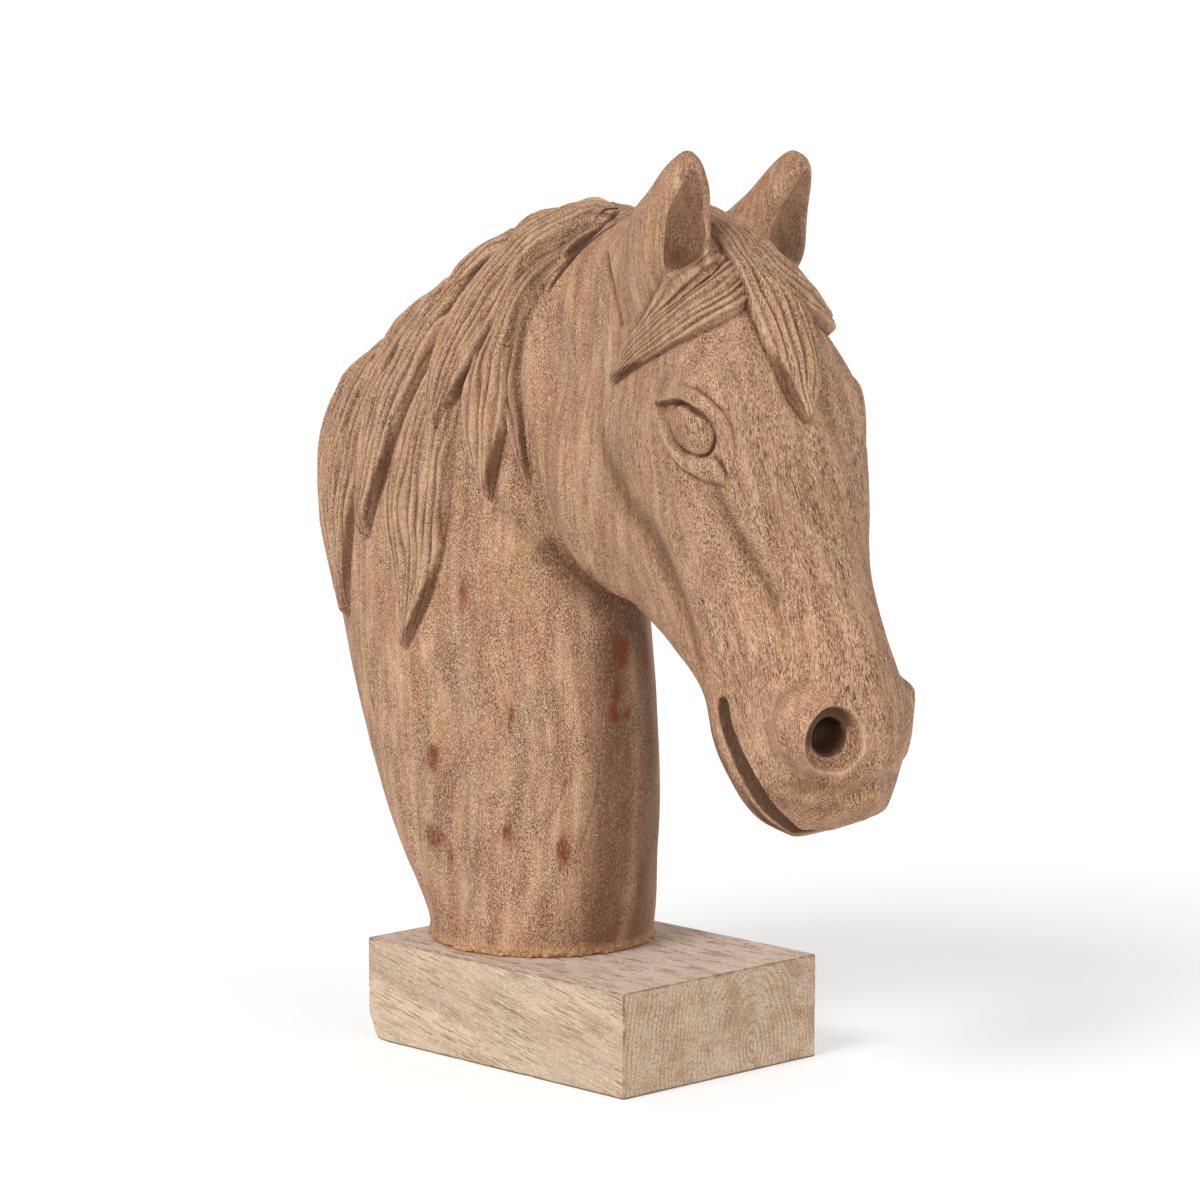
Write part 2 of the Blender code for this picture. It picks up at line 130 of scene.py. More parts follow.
def soft_light(name, around, above, spread, strength):
    """Light from a far wide source that looks this wide from the object. Angles are in degrees."""
    lamp = bpy.data.lights.new(name, "SUN")
    lamp.angle = math.radians(spread)
    lamp.energy = strength
    lamp_object = bpy.data.objects.new(name, lamp)
    way = direction(math.radians(around), math.radians(above))
    lamp_object.location = way * 2
    lamp_object.rotation_euler = way.to_track_quat("Z", "Y").to_euler()
    bpy.context.scene.collection.objects.link(lamp_object)


soft_light("key_light", around=4, above=42, spread=26, strength=1.9)
soft_light("front_light", around=95, above=25, spread=40, strength=0.45)
print("a white room and two soft lights")

# %% [markdown]
# The floor is a white acrylic table that is lit a little from below, so it shows only a faint shadow. One
# flat face that is far larger than the view is enough.


# %% Lay the floor
def colour(code):
    """A hex colour as the linear red, green, blue and alpha that Blender's sockets take."""
    parts = [int(code[i : i + 2], 16) / 255 for i in (1, 3, 5)]
    return (*(c / 12.92 if c <= 0.04045 else ((c + 0.055) / 1.055) ** 2.4 for c in parts), 1)


def new_material(name):
    """A material with nodes, and its shader."""
    made = bpy.data.materials.new(name)
    made.use_nodes = True
    return made, made.node_tree.nodes["Principled BSDF"]


def new_object(name, bm, material):
    """Turns a bmesh into an object at the origin, with its material."""
    mesh = bpy.data.meshes.new(name)
    bm.to_mesh(mesh)
    bm.free()
    mesh.materials.append(material)
    made = bpy.data.objects.new(name, mesh)
    bpy.context.scene.collection.objects.link(made)
    return made


FLOOR_SIZE = 12
acrylic, shader = new_material("lit_white_acrylic")
fill(acrylic.node_tree, shader, [
    ("Base Color", colour("#c8c8c8")), ("Roughness", 0.9), ("Emission Color", (1, 1, 1, 1)),
    ("Emission Strength", 0.42),
])
sheet = bmesh.new()
bmesh.ops.create_grid(sheet, x_segments=1, y_segments=1, size=FLOOR_SIZE / 2)
floor = new_object("floor", sheet, acrylic)
print("floor", FLOOR_SIZE, "m wide")

# %% [markdown]
# The bust is drawn in millimetres from the middle of the neck's foot, as a carver would mark the log: x
# forward, y to the left, z up. At the end its mesh is scaled to metres and moved to its place on the
# block.

# %% Mark out the log
FOOT_HALF_LENGTH = 54
FOOT_INSET = 0.5
FOOT_CUT = 1
LOG_ORIGIN = Vector((block_low.x + (FOOT_INSET + FOOT_HALF_LENGTH) * MM, 0, bust_low.z - FOOT_CUT * MM))
HEAD_LEAN = math.radians(22)
HEAD_TOP = Vector((94, 0, 370))
DOWN_FACE = Vector((math.sin(HEAD_LEAN), 0, -math.cos(HEAD_LEAN)))
OUT_OF_FACE = Vector((math.cos(HEAD_LEAN), 0, math.sin(HEAD_LEAN)))
print("the drawing's origin lies at", LOG_ORIGIN)

# %% [markdown]
# A carver first saws out plain masses. Here each long mass is a loft: a ring of points is made once, then
# its edge is extruded from rib to rib. A Catmull-Rom curve fairs both the ribs and the run between them.
# It passes through its points, so every number below is a place on the wood.


# %% Fair curves and lofts
def smooth_curve(points, steps):
    """Points on a Catmull-Rom curve through the given points, with this many steps in each span."""
    p = np.asarray(points, float)
    p = np.concatenate([[2 * p[0] - p[1]], p, [2 * p[-1] - p[-2]]])
    t = np.arange(steps)[:, None] / steps
    spans = []
    for a, b, c, d in zip(p, p[1:], p[2:], p[3:]):
        a, b, c, d = (q.reshape(1, -1) for q in (a, b, c, d))
        bend = t**2 * (a - 2.5 * b + 2 * c - 0.5 * d) + t**3 * (1.5 * (b - c) + 0.5 * (d - a))
        spans.append(b + 0.5 * t * (c - a) + bend)
    return np.concatenate([*spans, p[-2].reshape(1, -1)]).reshape((-1,) + np.shape(points)[1:])


RING_POINTS = 24
RINGS_PER_RIB = 5
RIB_STEPS = 12


def rib(front, back, widths):
    """A closed ring between two outline points. widths are (share of the way back, half-width)."""
    half = [(0.0, 0.0), *widths, (1.0, 0.0)]
    other_half = [(s, -w) for s, w in reversed(half[1:-1])]
    curve = smooth_curve(np.array(half + other_half + half[:3], float), RIB_STEPS)
    curve = curve[: RIB_STEPS * (len(half) - 1) + 1]
    curve[0] = half[0]
    run = np.concatenate([[0], np.cumsum(np.linalg.norm(np.diff(curve * (100, 1), axis=0), axis=1))])
    even = np.linspace(0, run[-1], RING_POINTS // 2 + 1)
    share, width = np.interp(even, run, curve[:, 0]), np.interp(even, run, curve[:, 1])
    share = np.concatenate([share, share[-2:0:-1]])
    width = np.concatenate([width, -width[-2:0:-1]])
    outline = np.array(front, float) + share[:, None] * (np.array(back, float) - np.array(front, float))
    return np.stack([outline[:, 0], width, outline[:, 1]], axis=1)


def loft(bm, ribs):
    """A closed skin over the ribs: one ring, extruded from each faired ring to the next."""
    def rim():
        return [bm.edges.get(pair) for pair in zip(row, row[1:] + row[:1])]

    rings = smooth_curve(np.array(ribs), RINGS_PER_RIB)
    circle = bmesh.ops.create_circle(bm, segments=len(rings[0]), radius=1)["verts"]
    row = sorted(circle, key=lambda v: math.atan2(v.co.y, v.co.x))
    first = rim()
    for number, ring in enumerate(rings):
        if number:
            made = set(bmesh.ops.extrude_edge_only(bm, edges=rim())["geom"])
            row = [next(e.other_vert(v) for e in v.link_edges if e.other_vert(v) in made) for v in row]
        for vertex, place in zip(row, ring):
            vertex.co = place
    for end in (first, rim()):
        bmesh.ops.contextual_create(bm, geom=end)


masses = bmesh.new()
print("loft and rib are ready")

# %% [markdown]
# The neck is one loft from its flat foot to the poll. Its crest is a narrow ridge and its throat is
# broader, so the section is an egg with its point backwards. The head is a second loft that leans 22
# degrees forward.

# %% Loft the neck and the head
# Crest x and z, throat x and z, half-width
NECK_RIBS = (
    (-54, 0, 54, 0, 53), (-59, 15, 58, 14, 53), (-82, 42, 63, 42, 53), (-107, 88, 67, 80, 53),
    (-129, 150, 65, 130, 53), (-145, 213, 62, 169, 51), (-138, 258, 63, 197, 46), (-97, 290, 66, 225, 42),
    (-45, 323, 80, 250, 38), (6, 348, 92, 280, 34), (50, 360, 110, 310, 27),
)
NECK_SECTION = ((0.08, 0.54), (0.28, 0.89), (0.52, 1), (0.76, 0.86), (0.93, 0.52))
loft(masses, [
    rib((back, z), (front, low_z), [(share, half * width) for share, width in NECK_SECTION])
    for back, z, front, low_z, half in NECK_RIBS
])
# How far along the face, how far forehead and jaw stand out of the head's line, and the width at four depths
HEAD_RIBS = (
    (9, -2, -54, ((0.1, 16), (0.3, 23), (0.6, 24), (0.9, 14))),
    (22, 12, -68, ((0.06, 21), (0.24, 33), (0.5, 37), (0.85, 26))),
    (43, 29, -84, ((0.06, 26), (0.2, 38), (0.45, 42), (0.85, 33))),
    (66, 37, -93, ((0.05, 29), (0.16, 41), (0.35, 45), (0.85, 34))),
    (88, 41, -99, ((0.04, 31), (0.11, 41), (0.26, 47), (0.85, 35))),
    (112, 43, -102, ((0.04, 33), (0.11, 52), (0.28, 54), (0.85, 36))),
    (140, 43, -101, ((0.05, 32), (0.12, 47), (0.33, 49), (0.85, 35))),
    (172, 41, -92, ((0.05, 26), (0.14, 38), (0.38, 41), (0.85, 31))),
    (200, 39, -76, ((0.06, 21), (0.2, 31), (0.45, 35), (0.85, 27))),
    (228, 38, -62, ((0.07, 20), (0.25, 29), (0.5, 33), (0.85, 26))),
    (252, 38, -64, ((0.08, 23), (0.25, 33), (0.5, 35), (0.85, 26))),
    (274, 34, -60, ((0.09, 23), (0.28, 33), (0.55, 33), (0.85, 25))),
    (292, 26, -51, ((0.1, 16), (0.3, 28), (0.6, 29), (0.88, 20))),
    (306, 12, -35, ((0.12, 14), (0.3, 21), (0.6, 21), (0.88, 13))),
)


def on_face(along, out):
    spot = HEAD_TOP + along * DOWN_FACE + out * OUT_OF_FACE
    return spot.x, spot.z


loft(masses, [
    rib(on_face(along, front), on_face(along, back), widths) for along, front, back, widths in HEAD_RIBS
])
print("neck and head:", len(masses.verts), "points")

# %% [markdown]
# The round masses are stretched spheres: a cap over the poll, a broad disc for each cheek, a small one
# under each brow and one for the swelling around each nostril.


# %% Add the round masses
def ball(centre, radii):
    shape = Matrix.Translation(centre) @ Matrix.Diagonal((*radii, 1))
    bmesh.ops.create_uvsphere(masses, u_segments=24, v_segments=16, radius=1, matrix=shape)


ball((106, 0, 337), (34, 34, 15))
for side in (-1, 1):
    ball((96, side * 26, 238), (62, 21, 62))
    ball((142, side * 38, 274), (25, 14, 18))
    ball((202, side * 24, 130), (18, 18, 21))
print("with the round masses:", len(masses.verts), "points")

# %% [markdown]
# An ear is a loft of ovals from its tip to its root. Each oval is pushed in from the front, so the ear is
# a shallow scoop with a rounded rim that opens forward and a little outward.

# %% Loft the ears
EAR_TURN = math.radians(22)
# The left ear stands this much lower, and this much further back and inwards
LEFT_EAR_DROP = 2.5
LEFT_EAR_BACK = 2
# Height, x, y, half-length, half-width and depth of the scoop, from the tip down
EAR_OVALS = (
    (388.5, 136, 36.5, 1.5, 1.5, 0), (385, 136, 36.5, 6.5, 5.5, 0), (379, 134, 36.5, 10.5, 9.5, 1),
    (369, 130, 35.5, 15, 14, 5), (360, 124.5, 35, 20, 17, 10), (350, 122, 34.5, 24, 18.5, 14),
    (341, 120, 34, 26, 19, 14), (334, 117, 33, 27, 18, 5), (326, 112, 32, 25, 17, 0),
    (308, 107, 30, 22, 14, 0),
)
# The scoop is an arch: its half-width at each height, and how far each scoop is turned from its ear's line
SCOOP_ARCH = ((330, 9), (338, 11), (346, 11), (358, 9.6), (367, 7.6), (376, 3.8), (381, 0.8))
SCOOP_TURN = {-1: math.radians(4), 1: math.radians(-20)}
# The left ear reaches less far forward: the share of each oval's front half that is left at a height
LEFT_EAR_TRIM = ((330, 0.74), (352, 0.74), (366, 0.86), (380, 1))
round_ear = np.arange(72) * math.pi / 36


def at(height, table):
    """The value of a (height, value) table at this height."""
    return np.interp(height, *zip(*table))


def turned(x, y, turn):
    """x and y as they are measured along and across a line that is turned by this angle."""
    return x * math.cos(turn) + y * math.sin(turn), y * math.cos(turn) - x * math.sin(turn)


for side in (-1, 1):
    turn, inner_turn = side * EAR_TURN, SCOOP_TURN[side]
    drop, back = (LEFT_EAR_DROP, LEFT_EAR_BACK) if side > 0 else (0, 0)
    ovals = []
    for height, x, y, half_length, half_width, scoop in EAR_OVALS:
        out, aside = half_length * np.cos(round_ear), half_width * np.sin(round_ear)
        front, across = turned(out, aside, inner_turn)
        push = scoop * (front > 0) * np.clip(1 - (across / at(height, SCOOP_ARCH)) ** 2, 0, 1) ** 0.7
        out = out - push * math.cos(inner_turn)
        aside = aside - push * math.sin(inner_turn)
        if side > 0:
            out = np.where(out > 0, out * at(height, LEFT_EAR_TRIM), out)
        ear_x = x - back + out * math.cos(turn) - aside * math.sin(turn)
        ear_y = side * y - back + out * math.sin(turn) + aside * math.cos(turn)
        ovals.append(np.stack([ear_x, ear_y, np.full_like(ear_x, height - drop)], axis=1))
    loft(masses, ovals)
bmesh.ops.recalc_face_normals(masses, faces=masses.faces)
print("all masses:", len(masses.verts), "points")

# %% [markdown]
# The masses still pass through each other. A voxel remesh melts them into one skin, and smoothing rounds
# off the seams as a rasp would. A finer remesh then gives the even grid of points that carving needs.


# %% Melt the masses into one skin
def apply_modifiers(target):
    """Replaces the object's mesh by what its modifiers make of it."""
    graph = bpy.context.evaluated_depsgraph_get()
    mesh = bpy.data.meshes.new_from_object(target.evaluated_get(graph))
    target.modifiers.clear()
    target.data = mesh


def remesh(target, voxel, smoothing):
    grid = target.modifiers.new("Remesh", "REMESH")
    grid.mode = "VOXEL"
    grid.voxel_size = voxel
    smooth = target.modifiers.new("Smooth", "SMOOTH")
    smooth.factor = 0.5
    smooth.iterations = smoothing
    apply_modifiers(target)


BLEND_VOXEL = 2.5
CARVE_VOXEL = 0.8
bust_wood, bust_shader = new_material("carved_mango_wood")
bust = new_object("carved_horse_head", masses, bust_wood)
remesh(bust, BLEND_VOXEL, smoothing=6)
remesh(bust, CARVE_VOXEL, smoothing=2)
print("skin:", len(bust.data.vertices), "points")

# %% [markdown]
# Carving moves the skin's points along the way out of the wood. A stroke is a line drawn on the skin. It
# knows which points it reaches, how far along it each lies, and how far aside, with -1 and 1 at its two
# edges. Every lock and cut below is a stroke with its own cross-section.


# %% Draw strokes on the skin
def read(items, name, width, kind=np.float32):
    """One value of each of a mesh's points or edges, as a row of numbers."""
    values = np.empty(len(items) * width, kind)
    items.foreach_get(name, values)
    return values.reshape(-1, width)


def averaged(values, pairs, rounds):
    """Each point's values, drawn halfway towards its neighbours' average this many times."""
    counts = np.bincount(pairs.reshape(-1), minlength=len(values))
    for _ in range(rounds):
        sums = np.empty_like(values)
        for column in range(values.shape[1]):
            sums[:, column] = np.bincount(pairs[:, 0], values[pairs[:, 1], column], len(values))
            sums[:, column] += np.bincount(pairs[:, 1], values[pairs[:, 0], column], len(values))
        values = 0.5 * values + 0.5 * sums / counts[:, None]
    return values


class Skin:
    """The points of a mesh, and the way out of the wood at each."""

    def __init__(self, mesh):
        self.mesh = mesh
        self.points, self.out = (read(mesh.vertices, name, 3).astype(float) for name in ("co", "normal"))
        self.tree = kdtree.KDTree(len(self.points))
        for i, point in enumerate(self.points):
            self.tree.insert(point, i)
        self.tree.balance()

    def move(self, way):
        self.points += way
        self.mesh.vertices.foreach_set("co", self.points.astype(np.float32).reshape(-1))
        self.mesh.update()


FAR_ASIDE = 9.0


class Stroke:
    """A line of (x, y, z, half-width) points on the skin, and where the points near it lie by it."""

    def __init__(self, skin, path):
        line = smooth_curve(path, 6)
        spots = [skin.tree.find(place)[1] for place in line[:, :3]]
        out, half = skin.out[spots], line[:, 3]
        lift = np.sum((line[:, :3] - skin.points[spots]) * out, axis=1)
        centre = line[:, :3] - lift[:, None] * out
        reach = half.max() * 1.6 + 2
        low, high = centre.min(axis=0) - reach, centre.max(axis=0) + reach
        self.near = np.flatnonzero(np.all((skin.points > low) & (skin.points < high), axis=1))
        points = skin.points[self.near]
        steps = np.linalg.norm(np.diff(centre, axis=0), axis=1)
        run = np.concatenate([[0], np.cumsum(steps)])
        best = np.full(len(points), np.inf)
        self.length = run[-1]
        self.along = np.zeros(len(points))
        self.aside = np.full(len(points), FAR_ASIDE)
        self.half = np.ones(len(points))
        for k, step in enumerate(steps):
            if step < 1e-6:
                continue
            tangent = (centre[k + 1] - centre[k]) / step
            across = np.cross(tangent, out[k] + out[k + 1])
            across /= np.linalg.norm(across)
            offset = points - centre[k]
            share = offset @ tangent / step
            held = np.clip(share, 0, 1)
            gap = offset - np.outer(held * step, tangent)
            square = np.sum(gap**2, axis=1)
            closer = square < best
            side_way = gap @ across
            width = half[k] + held * (half[k + 1] - half[k])
            aside = np.hypot(side_way, (share - held) * step) * np.where(side_way < 0, -1, 1) / width
            best[closer] = square[closer]
            self.along[closer] = ((run[k] + held * step) / run[-1])[closer]
            self.aside[closer] = aside[closer]
            self.half[closer] = width[closer]
        self.aside[best > reach**2] = FAR_ASIDE


def mirrored(path, side):
    """The path, drawn for the right side at -Y, or its mirror image for side 1."""
    return [(x, -side * y, *rest) for x, y, *rest in path]


def fade_in(value, end):
    """0 at 0, 1 from end on, smooth between."""
    t = np.clip(value / end, 0, 1)
    return t * t * (3 - 2 * t)


skin = Skin(bust.data)
carved, hair, painted_cut_shade, painted_shade, nostril_shade = np.zeros((5, len(skin.points)))
print("strokes can be drawn on", len(skin.points), "points")

# %% [markdown]
# The mane falls to the right in long overlapping locks, and to the left in fewer and plainer ones. Each
# lock is a path from root to tip, its height, how many strands it is parted into, and the side on which
# its edge was cut back in a slanting face: -1 for the side to the right of its path.

# %% Lay out the locks of the mane and the forelock
MANE_RIGHT = (
    ([(60, -8, 356, 7), (34, -10, 350, 9), (8, -8, 342, 9), (-30, -5, 327, 10), (-72, -8, 300, 12),
      (-104, -14, 266, 14), (-124, -20, 230, 15), (-122, -26, 195, 12), (-106, -36, 165, 5),
      (-99, -40, 153, 1)], 2.2, 6, -0.8),
    ([(20, -10, 346, 8), (-20, -9, 330, 9), (-55, -15, 306, 12), (-80, -26, 278, 17), (-95, -35, 245, 20),
      (-100, -39, 212, 19), (-99, -41, 180, 12), (-96, -41, 153, 1)], 3.4, 8, -0.8),
    ([(0, -34, 306, 8), (-22, -39, 276, 14), (-33, -44, 245, 19), (-36, -47, 215, 21), (-33, -50, 188, 16),
      (-34, -52, 165, 9), (-39, -53, 144, 1)], 3.8, 8, -1),
    ([(50, -26, 341, 5), (24, -33, 316, 9), (9, -38, 288, 12), (5, -40, 262, 14), (6, -41, 240, 9),
      (8, -40, 219, 1)], 4.4, 5, -1),
    ([(50, -12, 354, 7), (20, -14, 345, 9), (-14, -18, 328, 12), (-42, -28, 303, 15), (-59, -35, 277, 17),
      (-68, -42, 247, 14), (-71, -47, 218, 9), (-71, -50, 195, 1)], 5.0, 7, -0.8),
    ([(92, -22, 362, 3), (62, -24, 351, 4), (40, -31, 331, 5), (26, -36, 307, 5), (20, -38, 282, 5),
      (22, -38, 257, 5), (29, -35, 223, 1)], 2.0, 2, -0.3),
    ([(86, -14, 362, 6), (56, -17, 354, 9), (24, -24, 340, 12), (0, -32, 312, 16), (-16, -37, 286, 15),
      (-23, -42, 264, 9), (-23, -44, 251, 1)], 6.2, 7, -0.6),
)
MANE_LEFT = (
    ([(20, -10, 346, 8), (-20, -9, 330, 9), (-55, -15, 306, 12), (-80, -26, 278, 17), (-98, -35, 245, 18),
      (-104, -39, 212, 13), (-104, -41, 182, 1)], 2.6, 5, -1),
    ([(0, -34, 306, 8), (-22, -39, 276, 14), (-32, -44, 245, 17), (-34, -47, 215, 13), (-30, -50, 182, 1)],
      3.0, 5, -1),
    ([(50, -12, 354, 7), (20, -14, 345, 9), (-14, -18, 328, 12), (-42, -28, 303, 15), (-60, -35, 277, 15),
      (-69, -42, 247, 9), (-72, -47, 222, 1)], 3.8, 5, -1),
    ([(86, -16, 362, 6), (56, -20, 353, 9), (26, -28, 336, 12), (6, -34, 310, 14), (-4, -38, 284, 12),
      (-6, -42, 256, 1)], 4.4, 4, -1),
)
FORELOCK_RIGHT = (
    ([(54, 0, 358, 8), (84, 0, 358, 13), (106, 0, 356, 15), (124, 0, 349, 17), (138, 0, 338, 18),
      (150, 0, 325, 8)], 2.8, 9, -0.2),
    ([(139, -3, 343, 11), (145, -12, 338, 14.5), (147, -20, 333, 15.5), (146, -30, 326, 15.5),
      (140, -40, 318, 14), (128, -48, 308, 11), (112, -49, 296, 7), (95, -47, 281, 1)], 3.6, 9, -0.3),
    ([(96, -1, 359, 6), (118, -4, 354, 8), (136, -6, 347, 10), (148, -2, 333, 14), (156, 1, 315, 17),
      (164, 0, 301, 16), (171, -2, 288, 13), (178, -5, 277, 8), (184, -6, 267, 1)], 4.6, 7, 0.9),
)
FORELOCK_LEFT = (
    ([(132, -2, 349, 9), (144, -8, 339, 12), (150, -18, 327, 13), (151, -29, 316, 12), (147, -38, 307, 9),
      (137, -45, 299, 5), (128, -48, 294, 1)], 4.8, 6, -0.5),
)
# The mane's locks melt away towards their roots, and the forelock's hardly do
LOCKS = [
    (mirrored(path, side), rise, strands, -side * cut_side, melts)
    for side, locks, melts in (
        (-1, MANE_RIGHT, 1), (1, MANE_LEFT, 1), (-1, FORELOCK_RIGHT, 0.15), (1, FORELOCK_LEFT, 0.15)
    )
    for path, rise, strands, cut_side in locks
]
print(len(LOCKS), "locks")

# %% [markdown]
# A lock is a low ribbon. A V-tool parts it into broad strands that are rounded over between the cuts. No
# two cuts are equally deep, and they wander as the hand did. The locks are laid on from the lowest to the
# highest, as hair lies, and each is set off by a knife cut along its edge.

# %% Carve the hair
VEE_DEPTH = 1.4
VEE_HALF_WIDTH = 1.7
STRAND_CROWN = 0.9
LOCK_DOME = 0.45
SCRATCH_DEPTH = 0.8
KNIFE_DEPTH = 1.0
KNIFE_WIDTH = 1.2
THIN_EDGE = 1.4
SOFT_EDGE = 3.5
CUT_FACE_WIDTH = 3.2


def rough(points, size):
    """Noise between about -1 and 1 at each point, with lumps of this size."""
    return np.array([noise.noise(Vector(point) / size) for point in points])


def lock_profile(stroke, rise, strands, cut_side, melts):
    """The lock's height, its knife cut, its other cuts, the strand, and where its cut face is."""
    u = np.clip(stroke.aside, -1, 1)
    inside = (1 - np.abs(u)) * stroke.half
    melted = melts * (1 - fade_in(stroke.along - 0.3, 0.4))
    knife = KNIFE_DEPTH * (1 - 0.8 * melted) * fade_in(stroke.along, 0.12)
    face = (u * cut_side > 0) * np.sin(math.pi * np.clip((stroke.along - 0.74) / 0.26, 0, 1)) ** 0.7
    slope = THIN_EDGE + SOFT_EDGE * melted + CUT_FACE_WIDTH * abs(cut_side) * face
    dome = 1 + LOCK_DOME * (1 - u**2)
    from_root = fade_in(stroke.along, 0.15)
    body = (rise * dome + knife) * np.clip(inside / slope, 0, 1) * from_root - knife
    mm_along = stroke.along * stroke.length
    field = np.stack([(u + 1) * strands, mm_along / 12, np.full_like(u, 9 * rise)], axis=1)
    strand = (u + 1) / 2 * strands + 0.30 * np.sin(5.2 * stroke.along + strands) + 0.55 * rough(field, 2)
    to_crown = np.abs(2 * (strand % 1) - 1)
    strand_half = stroke.half / strands
    # Each V cut and each parting has its own noise, so that it deepens and fades along its way
    field[:, 0] = 4 * np.round(strand)
    in_vee = np.clip(1 - (1 - to_crown) * strand_half / VEE_HALF_WIDTH, 0, 1)
    vee = np.clip(0.65 + 0.9 * rough(field, 2.5), 0.15, 1) * in_vee
    field[:, 0] = 4 * np.floor(strand) + 2
    parting = np.clip(3 * rough(field, 2), 0, 1) * np.clip(1 - to_crown * strand_half / 1.2, 0, 1)
    cuts = (VEE_DEPTH * vee + SCRATCH_DEPTH * parting + STRAND_CROWN * to_crown**2) * (1 - 0.45 * melted)
    cuts *= np.clip(strand_half / 1.6, 0, 1) * fade_in(inside - 0.3 * slope, 1.0) * from_root
    return body - cuts, knife, vee + 0.6 * parting, strand, face * np.clip((slope - inside) / 0.8, 0, 1)


# The strand and the millimetres along the lock at each point, and how deep the cuts are there
combed = np.zeros((len(skin.points), 3))
for path, rise, strands, cut_side, melts in sorted(LOCKS, key=lambda lock: lock[1]):
    stroke = Stroke(skin, path)
    height, knife, cuts, strand, face = lock_profile(stroke, rise, strands, cut_side, melts)
    gap = np.maximum(0, (np.abs(stroke.aside) - 1) * stroke.half)
    below = hair[stroke.near] - knife * np.exp(-((gap / KNIFE_WIDTH) ** 2)) * (stroke.aside < FAR_ASIDE - 1)
    covers = (np.abs(stroke.aside) < 1) & (height > below)
    hair[stroke.near] = np.where(covers, height, below)
    # Painted shade on the lock's slanting cut face near its tip
    painted_cut_shade[stroke.near] = np.where(covers, face, painted_cut_shade[stroke.near])
    ways = np.stack([strand, stroke.along * stroke.length, 0.25 + cuts], axis=1)
    combed[stroke.near[covers]] = ways[covers]
print("hair stands", round(hair.max(), 1), "mm out of the neck at most")

# %% [markdown]
# The ears stay clear of hair. A small step sharpens the rim of each scoop, and shade is painted on its
# floor, darker lower down.

# %% Clear the ears
EAR_ROOT = 336
SCOOP_FOOT = 332
SCOOP_TOP = 380
RIM_STEP = 1.3
clear = np.ones(len(skin.points))
for side in (-1, 1):
    height = skin.points[:, 2] + (LEFT_EAR_DROP if side > 0 else 0)
    x, y, length, width = (at(height, [(oval[0], oval[k]) for oval in EAR_OVALS[::-1]]) for k in (1, 2, 3, 4))
    along, aside = turned(skin.points[:, 0] - x, skin.points[:, 1] - side * y, side * EAR_TURN)
    reach = np.hypot(along / length, aside / width)
    clear = np.minimum(clear, 1 - fade_in(1.3 - reach, 0.3) * fade_in(height - EAR_ROOT, 9))
    front, across = turned(along, aside, SCOOP_TURN[side])
    arch = at(height, SCOOP_ARCH)
    inside = fade_in((1 - np.abs(across / arch)) * arch, 1.3)
    inside *= (front > 0) * (reach < 1.15) * fade_in(height - SCOOP_FOOT, 5) * fade_in(SCOOP_TOP - height, 2)
    carved -= RIM_STEP * inside
    # Painted shade on the floor of each scoop, darker lower down
    painted_shade = np.maximum(painted_shade, inside * (0.5 + 0.3 * np.clip((352 - height) / 18, 0, 1)))
carved += hair * clear
painted_cut_shade *= clear
combed[:, 2] *= clear
print("the ears are clear at", int((clear < 0.5).sum()), "points")

# %% [markdown]
# The face and neck are marked with gouges: the long mouth, the crease behind the ear, the edge of the
# jaw, the hollows along the nose and cheek, and the shallow flats that a broad gouge left down the neck.
# The sharp ones have firm walls, and the soft ones melt into the wood around them.


# %% Gouge the mouth, creases and hollows
# A cut this steep is a channel with round ends, with shade painted over its floor and its walls
CHANNEL = 4


def gouge(path, depth, steep=None, shade_strength=0):
    """Cuts along the path, or leaves wood standing where depth is below 0.

    A higher steep makes firmer walls, and without it the cut is soft. The last argument is how strongly
    shade is painted into the cut.
    """
    stroke = Stroke(skin, path)
    u = np.clip(np.abs(stroke.aside), 0, 1)
    shape = 1 - u**steep if steep else np.cos(math.pi / 2 * u) ** 2
    # Painted shade, full in the middle of the cut and fading at its edges; in a channel it covers floor and
    # walls
    shade_in_cut = shade_strength * np.clip(2.2 - 2.2 * u, 0, 1)
    if steep == CHANNEL:
        shade_in_cut = shade_strength * np.clip(8 * (1.1 - np.abs(stroke.aside)), 0, 1)
    else:
        end = 0.12 if steep else 0.3
        ends = fade_in(stroke.along, end) * fade_in(1 - stroke.along, end)
        shape, shade_in_cut = shape * ends, shade_in_cut * ends
    carved[stroke.near] -= depth * shape
    painted_cut_shade[stroke.near] = np.maximum(painted_cut_shade[stroke.near], shade_in_cut)


